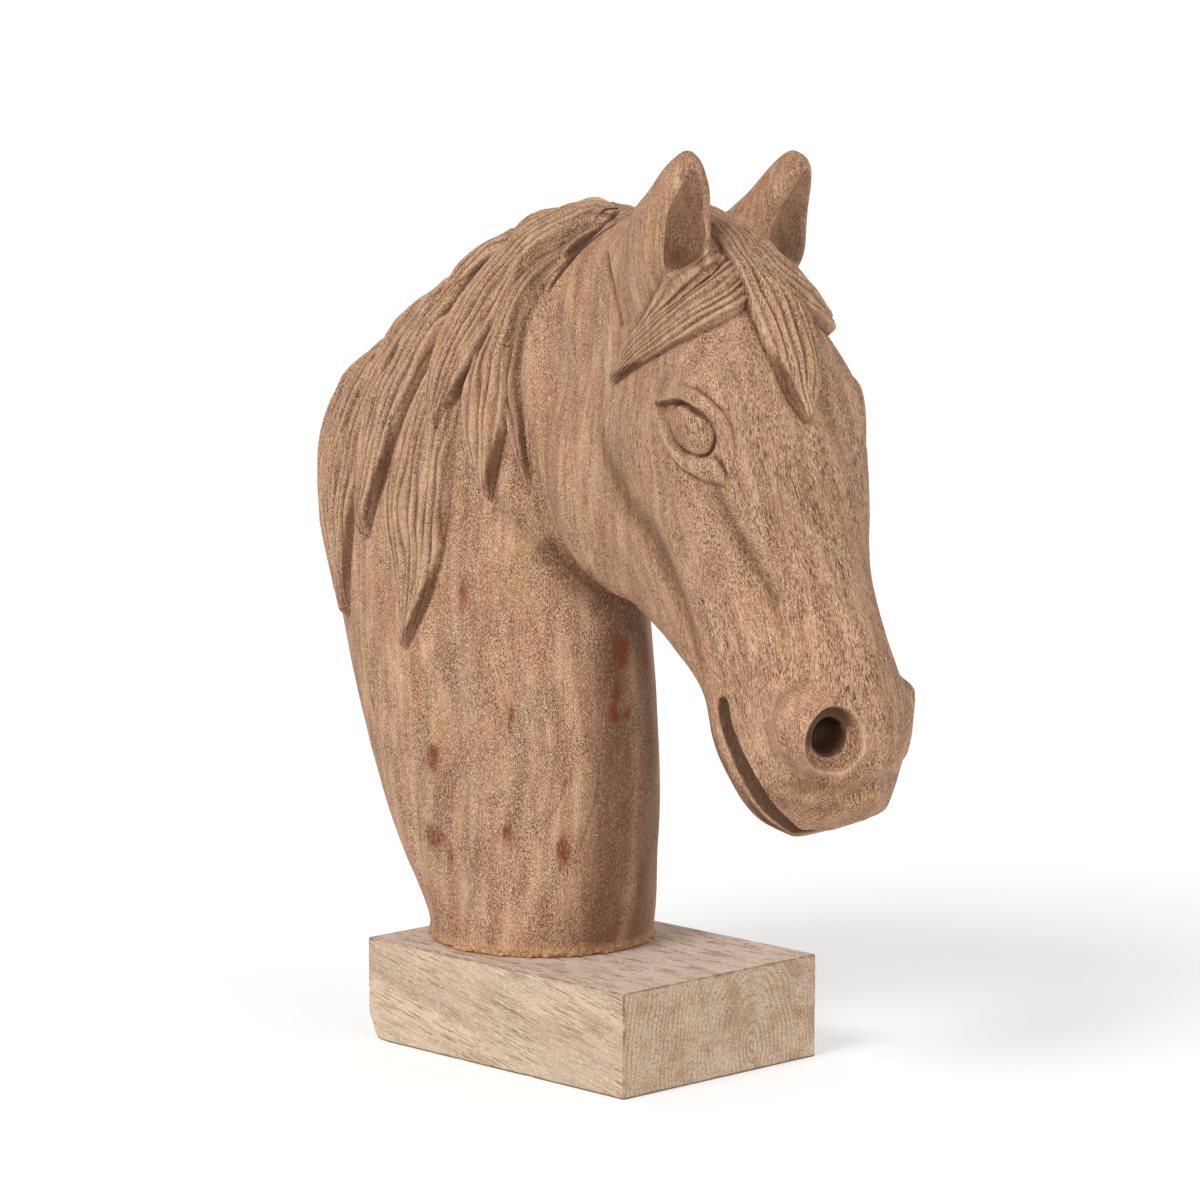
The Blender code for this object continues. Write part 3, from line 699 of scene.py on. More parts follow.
MOUTH = [
    (155, -31, 135, 4.5), (157.5, -30, 127, 4.7), (163, -29.5, 117, 5), (170.5, -29, 105.5, 5.2),
    (177.5, -28, 95.5, 5.3), (184.5, -25, 87.5, 5.2), (190, -19, 81.5, 4.7), (193.5, -11, 78, 3.9),
    (195, 0, 75.5, 3),
]
EAR_CREASE = [
    (84, -36, 342, 1.4), (88, -39, 332, 2.2), (94, -42, 322, 2.4), (99, -44, 310, 2.2),
    (103, -44, 304, 1.4),
]
JAW_EDGE = [(32, -38, 262, 2), (32, -36, 236, 3), (37, -30, 208, 4), (49, -21, 187, 4), (60, -8, 172, 3)]
HOLLOWS = (
    ([(163, -46, 240, 5), (168, -42, 222, 8), (175, -36, 204, 9), (182, -31, 188, 9), (192, -29, 166, 6)],
      3.4),
    ([(88, -46, 262, 7), (93, -46, 244, 10), (106, -46, 226, 12), (120, -42, 208, 12), (127, -38, 188, 11),
      (133, -34, 171, 9), (140, -31, 154, 7)], 3.2),
    ([(112, -49, 256, 7), (118, -48, 241, 9), (126, -44, 218, 10), (139, -37, 191, 9), (154, -32, 165, 6)],
      -1.3),
    ([(176, -26, 267, 5), (186, -24, 240, 7), (194, -22, 213, 7), (202, -20, 187, 7), (208, -20, 169, 5)],
      1.0),
    ([(193, -34, 108, 4), (204, -30, 107, 6), (213, -26, 107, 6), (220, -20, 109, 4)], 1.6),
    ([(88, -46, 232, 8), (84, -46, 212, 12), (92, -44, 192, 12), (110, -40, 176, 8)], 1.2),
    ([(-96, -40, 146, 8), (-80, -44, 100, 13), (-62, -46, 56, 13), (-50, -46, 10, 10)], 1.0),
    ([(-50, -52, 140, 8), (-44, -52, 90, 12), (-36, -52, 50, 12), (-30, -52, 5, 9)], 0.9),
    ([(-8, -48, 190, 9), (-6, -51, 140, 13), (-4, -52, 80, 13), (-4, -52, 5, 10)], 1.1),
    ([(26, -40, 200, 8), (30, -41, 150, 12), (32, -41, 90, 12), (30, -40, 5, 9)], 1.1),
)
# Cuts on one side only: notches where three locks rise over the crest, swells of the locks between them,
# a shallow cut with painted shade on the flank of the lower lip, the left nostril, the upper lip, grooves
# with painted shade near the poll, thin cracks, the tip of the nose. A fourth number is how much shade is
# painted into a cut.
SINGLE_CUTS = (
    ([(-2, -4, 346, 3.5), (1, -14, 345, 3.5), (1, -21, 341, 3.4), (-8, -25, 331, 3), (-21, -29, 318, 2.6),
      (-34, -34, 297, 1.6)], 2.8, 2, 0.35),
    ([(-40, -6, 325, 3.5), (-39, -16, 322, 3.5), (-38, -25, 314, 3.5), (-45, -30, 303, 3),
      (-54, -32, 295, 3), (-70, -36, 272, 2.5), (-80, -41, 251, 1.6)], 2.8, 2, 0.2),
    ([(-88, -6, 297, 3.5), (-87, -14, 293, 3.5), (-86, -23, 285, 3.5), (-87, -29, 276, 3),
      (-91, -36, 260, 2.5), (-98, -40, 240, 1.6)], 2.8, 2, 0.2),
    ([(-119, -25, 256, 7), (-111, -24, 267, 9), (-103, -22, 275, 9), (-90, -25, 281, 6)], -1.8),
    ([(-84, -25, 284, 6), (-75, -22, 294, 9), (-61, -21, 304, 9), (-42, -26, 311, 6)], -2.0),
    ([(-37, -25, 315, 6), (-28, -20, 325, 9), (-19, -18, 332, 9), (-3, -22, 338, 6)], -1.8),
    ([(3, -20, 342, 6), (14, -15, 347, 9), (24, -12, 352, 9), (46, -14, 356, 6)], -1.3),
    ([(164, -28, 96, 3), (170, -25, 87, 5), (175, -20, 80, 6), (184, -13, 77, 6)], 0.2, None, 0.8),
    ([(208, 34, 136, 7), (209, 34, 126, 10), (211, 33, 115, 7)], -2.2),
    ([(218, 5, 94, 7), (212, -2, 84, 9), (203, -8, 79, 9), (194, -14, 78, 5)], -2.4),
    ([(74, -16, 356, 1.4), (66, -25, 350, 2), (55, -27, 342, 2.2), (46, -31, 334, 1)], 1.3, 2, 1.7),
    ([(82, -25, 352, 1.4), (71, -28, 346, 2), (58, -27, 340, 2.2), (50, -30, 332, 2), (39, -34, 316, 1)],
      1.3, 2, 1.7),
    ([(-6, -25, 332, 1), (-14, -26, 326, 2), (-20, -28, 319, 2), (-27, -31, 308, 1)], 1.0, 2, 1.0),
    ([(51, -30, 92, 0.9), (48, -33, 77, 1), (42, -37, 67, 1), (30, -42, 61, 0.9)], 0.3, 2, 0.55),
    ([(60, -18, 103, 0.9), (60, -20, 81, 1.1), (56, -24, 62, 1.1), (53, -27, 47, 0.9)], 0.3, 2, 0.6),
    ([(13, -49, 87, 0.8), (20, -47, 81, 1), (28, -43, 74, 0.9)], 0.3, 2, 0.45),
    ([(214, -20, 97, 5), (223, -10, 101, 7), (227, 0, 105, 8), (223, 12, 103, 7), (214, 22, 99, 5)], 3.4),
)
for side in (-1, 1):
    for path, *cut in ((MOUTH, 3.0, CHANNEL, 1.7), (EAR_CREASE, 1.9, 2, 0.6), (JAW_EDGE, 2.4, 2), *HOLLOWS):
        gouge(mirrored(path, side), *cut)
for path, *cut in SINGLE_CUTS:
    gouge(path, *cut)
print("cuts go", round(-carved.min(), 1), "mm deep")

# %% [markdown]
# Long soft bands of painted shade, in brown, lie under the jaw, down the front of the neck, in the hollows
# of the face, under the chin and where the mane meets the cheek. Each is a path with its strength.

# %% Shade the long hollows
PAINTED_SHADES = (
    ([(90, -46, 258, 5), (94, -46, 243, 8), (106, -46, 226, 10), (120, -42, 208, 10), (127, -38, 188, 9),
      (133, -34, 171, 8), (140, -31, 154, 6)], 0.75),
    ([(164, -46, 240, 4), (169, -41, 220, 6), (175, -35, 204, 7), (182, -30, 190, 6), (190, -28, 170, 4)],
      0.7),
    ([(75, -40, 318, 5), (78, -41, 297, 7), (82, -43, 270, 8), (92, -46, 248, 8), (102, -46, 220, 6)], 0.3),
    ([(38, -32, 196, 12), (57, -15, 174, 16), (64, 0, 162, 18)], 1.0),
    ([(62, -2, 168, 20), (60, -10, 140, 22), (60, -10, 90, 24), (58, -12, 40, 24), (54, -12, 0, 20)], 0.95),
    ([(134, -20, 130, 6), (146, -25, 112, 9), (158, -26, 96, 10), (170, -20, 83, 9)], 0.8),
    ([(160, -28, 100, 4), (167, -27, 90, 6), (172, -22, 82, 7), (181, -17, 77, 7), (190, -6, 74, 6)], 0.9),
    ([(178, -31, 100, 5), (186, -31, 97, 8), (196, -29, 95, 9), (205, -26, 94, 8), (214, -19, 94, 7)],
      0.65),
    ([(84, -12, 362, 8), (60, -22, 352, 10), (40, -28, 334, 10), (26, -30, 318, 8)], 0.4),
    ([(92, -24, 360, 4), (62, -25, 349, 6), (40, -32, 331, 8), (28, -36, 307, 8), (24, -38, 282, 8),
      (24, -38, 257, 7), (29, -36, 232, 5)], 0.5),
    ([(8, -42, 226, 8), (22, -40, 210, 12), (38, -33, 192, 10)], 0.45),
)
for side in (-1, 1):
    for path, strength in PAINTED_SHADES:
        stroke = Stroke(skin, mirrored(path, side))
        soft = np.cos(math.pi / 2 * np.clip(np.abs(stroke.aside), 0, 1)) ** 2
        # Painted shade, strongest along the middle of each band
        painted_shade[stroke.near] = np.maximum(painted_shade[stroke.near], strength * soft)
print(len(PAINTED_SHADES), "soft brown bands on each side")

# %% [markdown]
# The eye is drawn in its own frame, p towards the front corner and q up across it. The opening is an
# almond under a heavy upper lid. In it sits an oval ball, set off by a knife groove. Two creases follow
# the lids, and a short cut runs on from the front corner.


# %% Carve the eyes
def own_frame(centre, along):
    """The middle of a patch of skin, the way out of it, and two unit vectors in it. The last points up."""
    patch = skin.points[skin.tree.find(centre)[1]]
    close = np.sum((skin.points - patch) ** 2, axis=1) < 8**2
    out = skin.out[close].mean(axis=0)
    out /= np.linalg.norm(out)
    first = np.array(along, float)
    first -= out * (first @ out)
    first /= np.linalg.norm(first)
    second = np.cross(out, first)
    return patch, out, first, second * math.copysign(1, second[2])


def crease(distance, width):
    """1 on a line, falling to 0 at this distance from it."""
    return np.clip(1 - (distance / width) ** 2, 0, 1)


UPPER_LID = (
    (-27, -7.5), (-24, -3), (-20, 2.2), (-16, 6.4), (-11, 9), (-5, 10.7), (-1.5, 11.1), (3, 10.6), (7, 9),
    (12, 5.2), (16, 0.8), (21, -3.2), (26, -8),
)
LOWER_LID = (
    (-27, -7.5), (-22, -8.6), (-17, -9.6), (-12, -11), (-6, -12.6), (1, -13), (8, -10), (13, -5),
    (16.5, -2.2), (21, -4.4), (26, -9),
)
UPPER_CREASE = ((-22, 8.5), (-19, 11.5), (-13, 15.2), (-5, 16.4), (4, 15.4), (12.6, 12), (20, 6), (25, -1))
LOWER_CREASE = ((-28, -9.5), (-20, -13.5), (-12, -16.5), (-4, -18.4), (5, -19.4), (16, -16.4), (26, -10.4))
CORNER_CUT = ((14, -2.0), (18, -2.6), (24, -5.5), (29, -9.5))
EYE_REACH = 34
BALL_LENGTH = 14.2
BALL_HEIGHT = 10.8
LID_DEPTH = 4.0
for side in (-1, 1):
    patch, out, forward, up = own_frame((156, side * 52, 262), (41, -side * 8, -34))
    offset = skin.points - patch
    p, q = offset @ forward, offset @ up
    upper, lower, upper_crease, low_crease, corner = (
        at(p, line) for line in (UPPER_LID, LOWER_LID, UPPER_CREASE, LOWER_CREASE, CORNER_CUT)
    )
    near_eye = np.sum(offset**2, axis=1) < EYE_REACH**2
    taper = np.clip(1 - (p / 28) ** 2, 0, 1)
    opening = (q < upper) & (q > lower)
    # The flat cut under the upper lid is widest behind the ball
    band = 1.3 + 2.2 * fade_in(7 - p, 13)
    wall = np.clip((upper - q) / band, 0, 1)
    behind = fade_in(6 - p, 14)
    socket = -LID_DEPTH * (0.55 + 0.45 * behind) * wall * np.clip((q - lower) / 2.2, 0, 1)
    from_ball = np.hypot((p + 2.8) / BALL_LENGTH, (q + 1.0) / BALL_HEIGHT)
    dome = 4.6 * np.sqrt(np.clip(1 - from_ball**2, 0, 1)) - 3.2
    eye = np.where(opening, np.where((from_ball < 1) & (wall > 0.99), np.maximum(socket, dome), socket), 0)
    # The groove round the ball is wider low behind it and deeper in the front corner
    low_back = fade_in(-(p + q) - 4, 8)
    in_corner = fade_in(p - 6, 5)
    ring = crease(from_ball - 1.0 - 0.05 * low_back, 0.085 + 0.06 * low_back)
    ring = ring * (q < upper - 0.5) * (q > lower - 1.5)
    eye -= (1.1 + 0.9 * in_corner + 0.7 * low_back) * ring
    # Both lids swell between the opening and their creases
    lid = np.clip((q - upper) / np.maximum(upper_crease - upper, 1), 0, 1)
    bag = np.clip((lower - q) / np.maximum(lower - low_crease, 1), 0, 1)
    eye += taper * 1.9 * np.sin(math.pi * lid) ** 0.7 * (q > upper)
    eye -= taper * 1.5 * crease(q - upper_crease, 1.2)
    eye += taper * (1.9 + 0.7 * fade_in(p + 6, 12)) * np.sin(math.pi * bag) ** 0.7
    eye -= 1.5 * crease(q - low_crease, 2.2) * fade_in(p + 8, 10) * fade_in(28 - p, 4)
    at_corner = fade_in(p - 13, 2) * fade_in(28 - p, 5)
    eye -= 1.5 * crease(q - corner, 1.3) * at_corner
    carved += np.where(near_eye, eye, 0)
    # Painted shade under the upper lid, round the ball, in the upper crease and in the corner cut
    dark = np.max([
        opening * (wall > 0.1) * (wall < 0.99) * (0.35 + 0.65 * behind),
        ring * (0.25 + 0.75 * in_corner + 0.25 * low_back),
        0.7 * crease(q - upper_crease, 0.9) * fade_in(p + 18, 5) * fade_in(12 - p, 10),
        0.9 * crease(q - corner, 1.0) * at_corner,
    ], axis=0)
    painted_cut_shade = np.maximum(painted_cut_shade, np.where(near_eye, dark, 0))
print("both eyes are carved")

# %% [markdown]
# Each nostril is a funnel with a raised rim and a hole bored in from its middle. It cuts straight in,
# because the skin's own normals would squeeze a deep hole shut. The left one sits a little further back.

# %% Bore the nostrils and move the skin
NOSTRILS = ((218.5, -24.5, 126), (208, 33, 127))
# Distance from the middle and depth of the funnel there
NOSTRIL_PROFILE = (
    (0, -20), (5.0, -19), (6.6, -16), (7.5, -9), (8.3, -7.4), (9.6, -5.8), (10.6, -6.0), (11.8, -4.4),
    (12.6, -3.6), (13.6, -0.6), (14.4, 1.0), (16, 1.0), (20, 0),
)
pairs = read(bust.data.edges, "vertices", 2, np.int32)
carved = averaged(carved[:, None], pairs, 1)[:, 0]
way = carved[:, None] * skin.out
for centre in NOSTRILS:
    patch, out, down, back = own_frame(centre, (0, 0, -1))
    offset = skin.points - patch
    reach = np.hypot(offset @ down / 1.1, offset @ back)
    depth = np.where(np.sum(offset**2, axis=1) < 22**2, at(reach, NOSTRIL_PROFILE), 0)
    way += depth[:, None] * out
    # Shade is painted on the funnel's wall and in the hole, darkest behind and above
    behind = offset @ (-0.75, 0, 0.65)
    dark = np.clip(0.35 + 0.9 * behind / np.maximum(reach, 1), 0.1, 1)
    black = 7.2 + 2.3 * np.clip(0.6 + 0.16 * behind, 0.3, 1)
    nostril_shade = np.maximum(nostril_shade, np.where(depth > -7.3, -depth * dark, black))
skin.move(way)
print("nostrils are", -NOSTRIL_PROFILE[0][1], "mm deep")

# %% [markdown]
# Where the neck meets the block, glue and sawdust form a rough little roll. The lowest few millimetres of
# the skin are pushed out for it, by an amount that noise varies. The wood above keeps a faint unevenness.

# %% Roughen the foot and the surface
ROLL_HEIGHT = 7
ROLL_WIDTH = 2.6
GRAIN_OF_ROLL = 1.9
UNEVEN = 0.28
foot = np.flatnonzero(skin.points[:, 2] < ROLL_HEIGHT + FOOT_CUT)
low = skin.points[foot]
swell = ROLL_WIDTH * np.clip(1 - (low[:, 2] - FOOT_CUT) / ROLL_HEIGHT, 0, 1) ** 1.5
lumps = rough(low, GRAIN_OF_ROLL) + 0.6 * rough(low, 5) + 0.9 * rough(low, 13)
way = np.zeros_like(skin.points)
way[foot] = skin.out[foot] * (1, 1, 0) * (swell * np.clip(0.75 + 0.7 * lumps, 0.1, 2))[:, None]
way += skin.out * (UNEVEN * rough(skin.points * (1, 1, 0.45), 11))[:, None]
skin.move(way)
print("the roll at the foot has", len(foot), "points")

# %% [markdown]
# Shade is painted into the hollows, and the ridges are made paler. To measure how hollow a point is,
# smooth a copy of the skin and see how far the point lies below it. A fine and a broad measure drive the
# painted shade and the paler ridges. They are taken now, while the points still lie evenly.


# %% Measure the hollows
def hollow(skin, rounds):
    """How far each point lies below its smoothed surroundings, in millimetres."""
    return np.sum((averaged(skin.points, pairs, rounds) - skin.points) * skin.out, axis=1)


carved_skin = Skin(bust.data)
FINE_ROUNDS, BROAD_ROUNDS = ((5, 32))
fine_hollow = hollow(carved_skin, FINE_ROUNDS)
broad_hollow = hollow(carved_skin, BROAD_ROUNDS)
print("fine hollows to", round(fine_hollow.max(), 2), "mm, broad to", round(broad_hollow.max(), 2), "mm")

# %% [markdown]
# So many points are only needed in the hair and round the eyes, and a Decimate keeps them where the wood
# curves most. The foot is then cut level. What is known of each point of the dense skin is handed to the
# nearest point of the lighter one, as attributes that the wood's material can read.

# %% Thin the skin, cut the foot level and store the attributes
BUST_TRIANGLES = 192000
triangles = sum(len(face.vertices) - 2 for face in bust.data.polygons)
thin = bust.modifiers.new("Decimate", "DECIMATE")
thin.ratio = min(1, BUST_TRIANGLES / triangles)
apply_modifiers(bust)
level = bmesh.new()
level.from_mesh(bust.data)
everything = level.verts[:] + level.edges[:] + level.faces[:]
cut = bmesh.ops.bisect_plane(
    level, geom=everything, plane_co=(0, 0, FOOT_CUT), plane_no=(0, 0, 1), clear_inner=True
)
bmesh.ops.holes_fill(level, edges=[e for e in cut["geom_cut"] if isinstance(e, bmesh.types.BMEdge)])
bmesh.ops.triangulate(level, faces=level.faces)
level.to_mesh(bust.data)
level.free()


def store(mesh, name, values):
    """Keeps a number or a row of three for each point of the mesh, under this name."""
    kind, field = ("FLOAT_VECTOR", "vector") if np.ndim(values) > 1 else ("FLOAT", "value")
    attribute = mesh.attributes.new(name, kind, "POINT")
    attribute.data.foreach_set(field, np.ascontiguousarray(values, np.float32).reshape(-1))


final_points = read(bust.data.vertices, "co", 3).astype(float)
nearest = np.array([carved_skin.tree.find(point)[1] for point in final_points])
for name, values in (
    ("fine_hollow", fine_hollow), ("broad_hollow", broad_hollow), ("painted_cut_shade", painted_cut_shade), ("nostril_shade", nostril_shade),
    ("painted_shade", painted_shade),
):
    store(bust.data, name, averaged(values[:, None], pairs, 1)[nearest, 0])
store(bust.data, "combed", combed[nearest])
print("carved bust:", len(bust.data.polygons), "triangles, was", triangles)

# %% [markdown]
# The log had a few red-brown streaks and dark smudges of its own. The dark patch below the jaw and the one
# under the nostril are partly painted shade. Each is an upright oval patch around a point of the drawing.

# %% Place the stains
# x, y, z, half-width, half-height, strength
RED_STAINS = (
    (62, -6, 148, 4, 8, 1.0), (63, -9, 130, 3.4, 3, 0.75), (63, -11, 119, 5, 3, 1.0),
    (63, -5, 117, 4, 2, 0.9), (61, 11, 144, 4, 15, 0.5), (-19, -53, 92, 4, 6, 1.0),
    (-22, -52, 53, 3.2, 5.5, 1.0), (-15, -53, 54, 3, 4, 0.9), (-8, -52, 46, 2, 5, 0.7),
    (24, -46, 62, 3, 3, 0.9), (49, -32, 53, 3, 8, 0.9),
    (25, -43, 115, 1.6, 9, 0.8), (-3, -47, 173, 3.5, 9, 0.6), (8, -47, 150, 3, 14, 0.35),
    (-72, -45, 112, 2, 5, 0.6), (17, -40, 240, 4, 16, 0.35), (-89, -45, 172, 3, 12, 0.4),
    (131, -35, 340, 9, 5, 0.4), (132, 30, 338, 9, 5, 0.35), (40, 40, 120, 6, 20, 0.4),
    (-60, 45, 90, 5, 18, 0.5),
)
# Dark smudges; the ones under the nostril and below the jaw are partly painted shade
SMUDGES_AND_SHADE = (
    (206, -30, 104, 13, 4, 1.0), (0, -47, 205, 12, 12, 0.35), (149, -6, 327, 2.5, 2.5, 1.0),
    (30, 40, 190, 20, 18, 0.5),
)
for name, spots in (("red_stain", RED_STAINS), ("smudge_and_shade", SMUDGES_AND_SHADE)):
    cover = np.zeros(len(final_points))
    for x, y, z, width, height, strength in spots:
        reach = ((final_points - (x, y, z)) / (width, width, height)) ** 2
        cover = np.maximum(cover, strength * np.exp(-reach.sum(axis=1) * 0.8))
    store(bust.data, name, cover)
bust.data.transform(Matrix.Translation(LOG_ORIGIN) @ Matrix.Scale(MM, 4))
bust.data.shade_smooth()
print("stains:", len(RED_STAINS), "red,", len(SMUDGES_AND_SHADE), "dark")

# %% [markdown]
# Mango wood is a mid-brown timber with long open pores. Sanded and left almost bare, it is matt: tan,
# drifting to grey and to red, and stippled with short dark pores and pale flecks. The texture is solid,
# so it runs through the carving as grain does: noise, squeezed across the grain and drawn out along it.


# %% Give the wood its grain
class Finish:
    """The nodes of one wood. paint is its colour so far, and lay() puts the next colour over it."""

    def __init__(self, material, base):
        self.name, self.tree = material.name, material.node_tree
        self.place = self.node("TexCoord", "Object")
        self.paint = colour(base)

    def node(self, kind, output, *inputs, **settings):
        """Adds a node and gives one of its outputs."""
        return add(self.tree, kind, inputs, **settings).outputs[output]

    def math(self, operation, *values, kind="Math", **settings):
        return self.node(kind, 0, *enumerate(values), operation=operation, **settings)

    def times(self, first, second):
        return self.math("MULTIPLY", first, second)

    def split(self, vector):
        return add(self.tree, "SeparateXYZ", [(0, vector)]).outputs[:]

    def ramp(self, value, low, high, first=0, last=1, smooth=False):
        """first where the value is low, last where it is high, and even or smooth between."""
        inputs = zip(("Value", "From Min", "From Max", "To Min", "To Max"), (value, low, high, first, last))
        shape = "SMOOTHSTEP" if smooth else "LINEAR"
        return self.node("MapRange", "Result", *inputs, interpolation_type=shape)

    def scaled(self, vector, scale):
        return self.node("Mapping", 0, ("Vector", vector), ("Scale", scale))

    def streaks(self, vector, across, along, low, high, detail=2, axis=2):
        """Marks of this size in mm: 0 where the noise is under low, 1 where it is over high."""
        scale = [1 / (across * MM)] * 3
        scale[axis] = 1 / (along * MM)
        space = self.scaled(vector, scale)
        pattern = self.node("TexNoise", "Fac", ("Vector", space), ("Scale", 1), ("Detail", detail))
        return self.ramp(pattern, low, high)

    def wander(self, vector, reach, way):
        """The coordinates, shifted by slow noise with waves of this reach in mm, by half of way at most."""
        drift = self.node("TexNoise", "Color", ("Vector", vector), ("Scale", 1 / (reach * MM)), ("Detail", 1))
        drift = self.math("SUBTRACT", drift, (0.5, 0.5, 0.5), kind="VectorMath")
        drift = self.math("MULTIPLY", drift, way, kind="VectorMath")
        return self.math("ADD", vector, drift, kind="VectorMath")

    def measured(self, name, low, high):
        """A stored measure of the mesh, brought to 0 at low and 1 at high."""
        return self.ramp(self.node("Attribute", "Fac", attribute_name=name), low, high, smooth=True)

    def lay(self, *layers):
        """Lays colours over the paint. A layer is (amount, share, colour) and covers amount times share."""
        for amount, share, code in layers:
            factor = self.math("MULTIPLY", amount, share, use_clamp=True)
            inputs = ((0, factor), (6, self.paint), (7, colour(code)))
            self.paint = self.node("Mix", 2, *inputs, data_type="RGBA", clamp_factor=True)

    def polish(self, shader, roughness, depth, strength, *marks):
        """Sets the paint and the gloss, and sinks each (pattern, share) into the wood. depth is in mm."""
        height = 1
        for pattern, share in marks:
            height = self.math("MULTIPLY_ADD", pattern, -share, height)
        bump = self.node("Bump", 0, ("Height", height), ("Distance", depth * MM), ("Strength", strength))
        fill(self.tree, shader, [
            ("Base Color", self.paint), ("Roughness", roughness), ("IOR", BARE_WOOD_IOR), ("Normal", bump),
        ])
        print(self.name, "has", len(self.tree.nodes), "nodes")


BARE_WOOD_IOR = 1.33
GRAIN_LEAN = 0.25
wood = Finish(bust_wood, "#a4785a")
x, y, z = wood.split(wood.wander(wood.place, 110, (0.024, 0.024, 0)))
# The grain stands upright in the neck and tilts along the face
lean = wood.ramp(x, 0.03, 0.12, 0, GRAIN_LEAN, smooth=True)
grain = wood.node("CombineXYZ", 0, (0, wood.math("MULTIPLY_ADD", lean, z, x)), (1, y), (2, z))
print("the grain leans", round(math.degrees(math.atan(GRAIN_LEAN))), "degrees in the face")

# %% [markdown]
# The colours are laid on from the broadest to the finest: light and dark bands, grey and red clouds, long
# fibres, pores and pale flecks. The pores are half a millimetre wide, which is just what the view can
# show.

# %% Colour the carved wood
wood.lay(
    (wood.streaks(grain, 6, 50, 0.37, 0.63, 4), 1.0, "#cfa481"),
    (wood.streaks(grain, 30, 80, 0.45, 0.62, 3), 0.38, "#987a64"),
    (wood.streaks(grain, 18, 45, 0.50, 0.66, 3), 0.45, "#b07654"),
    (wood.streaks(grain, 13, 60, 0.58, 0.72), 0.5, "#b38f5b"),
    (wood.streaks(grain, 1.3, 24, 0.54, 0.68, 3), 0.36, "#7b4c30"),
)
in_face = wood.ramp(lean, 0, GRAIN_LEAN)
fibres = wood.times(wood.streaks(grain, 0.42, 14, 0.42, 0.62, 1), wood.ramp(in_face, 0, 1, 0.4, 1))
pore_fields = wood.ramp(wood.streaks(grain, 12, 24, 0.38, 0.62, 3), 0, 1, 0.35, 1)
# The neck cuts through the pores, so there they are only dots. In the face they are dashes.
dots = wood.times(wood.streaks(grain, 0.45, 0.9, 0.49, 0.63, 1), 1.15)
dashes = wood.times(wood.streaks(grain, 0.46, 5, 0.56, 0.62, 0), 1.1)
pores = wood.times(wood.node("Mix", 0, (0, in_face), (2, dots), (3, dashes)), pore_fields)
flecks = wood.streaks(grain, 0.45, 1.2, 0.54, 0.64, 1)
wood.lay((fibres, 0.45, "#825434"), (pores, 0.85, "#5f361f"), (flecks, 0.45, "#ebcdb0"))
print("carved wood:", len(wood.tree.nodes), "nodes so far")

# %% [markdown]
# In the hair, shade is painted as dark lines in the cuts, and fine scratches run along the strands. Both
# are drawn from the stored strand number, which grows by one from cut to cut. Shade is also painted on
# the knife's cut faces and in the hollows, and the ridges are made paler.

# %% Darken the cuts and hollows
strand, mm_along, depth = wood.split(wood.node("Attribute", "Vector", attribute_name="combed"))
to_cut = wood.math("PINGPONG", strand, 0.5)
# Painted shade: a dark line down each cut, as strong as the cut is deep
cut_shade_line = wood.times(wood.ramp(to_cut, 0.22, 0.02, smooth=True), depth)
crown = wood.times(wood.ramp(to_cut, 0.30, 0.48), depth)
scratch_space = wood.node("CombineXYZ", 0, (0, wood.times(strand, 5)), (1, wood.times(mm_along, 1 / 18)))
scratches = wood.node("TexNoise", "Fac", ("Vector", scratch_space), ("Scale", 1), ("Detail", 3))
scratches = wood.times(wood.ramp(scratches, 0.48, 0.68), depth)
stain_grain = wood.ramp(wood.streaks(grain, 0.7, 3, 0.40, 0.54), 0, 1, 0.55, 1)
foot_height = wood.split(wood.place)[2]
crumbs = wood.ramp(foot_height, bust_low.z + 7 * MM, bust_low.z + 2 * MM, smooth=True)
wood.lay(
    (crown, 0.5, "#d8b596"),
    (scratches, 0.55, "#7c5334"),
    # Painted shade in the broad and fine hollows, and paler ridges
    (wood.measured("broad_hollow", 0.15, 2.2), 0.5, "#6b462b"),
    (wood.measured("fine_hollow", 0.03, 0.5), 0.62, "#56351e"),
    (wood.measured("fine_hollow", -0.04, -0.35), 0.35, "#dfbf9f"),
    (cut_shade_line, 0.5, "#63401f"),
    # Painted shade from the bands and the ear scoops
    (wood.measured("painted_shade", 0, 1), 0.72, "#5d371e"),
    (pores, 0.35, "#4f2b17"),
    (flecks, 0.15, "#ebcdb0"),
    (wood.times(wood.measured("red_stain", 0.12, 0.62), stain_grain), 0.97, "#743a12"),
    # Painted shade on the knife's cut faces, in the cuts and creases and round the eyes, darkest where
    # strongest
    (wood.measured("painted_cut_shade", 0.15, 0.9), 0.72, "#55321a"),
    (wood.measured("painted_cut_shade", 1.0, 1.6), 0.6, "#38200f"),
    # Dark smudges, partly painted shade
    (wood.measured("smudge_and_shade", 0, 1), 0.68, "#664833"),
    # Painted shade in the nostrils, near black deep in the holes
    (wood.measured("nostril_shade", 0.5, 3.6), 0.85, "#4d2f1b"),
    (wood.measured("nostril_shade", 7.2, 9.5), 0.93, "#1d120b"),
    (crumbs, 0.55, "#b7855a"),
    (wood.times(crumbs, wood.streaks(wood.place, 1.1, 1.1, 0.45, 0.6)), 0.5, "#e0bd92"),
)
wood.polish(bust_shader, 0.68, 0.25, 0.8, (pores, 0.8), (fibres, 0.35), (scratches, 0.8), (cut_shade_line, 1.5))

# %% [markdown]
# The block is a length of sawn plank. Its arrises are only just broken, its lower ones a little chipped,
# and one lower corner is knocked round. A cube is cut into a grid that is closest at the edges, and its
# points are pulled onto a box with rounded edges, whose radius changes from place to place.

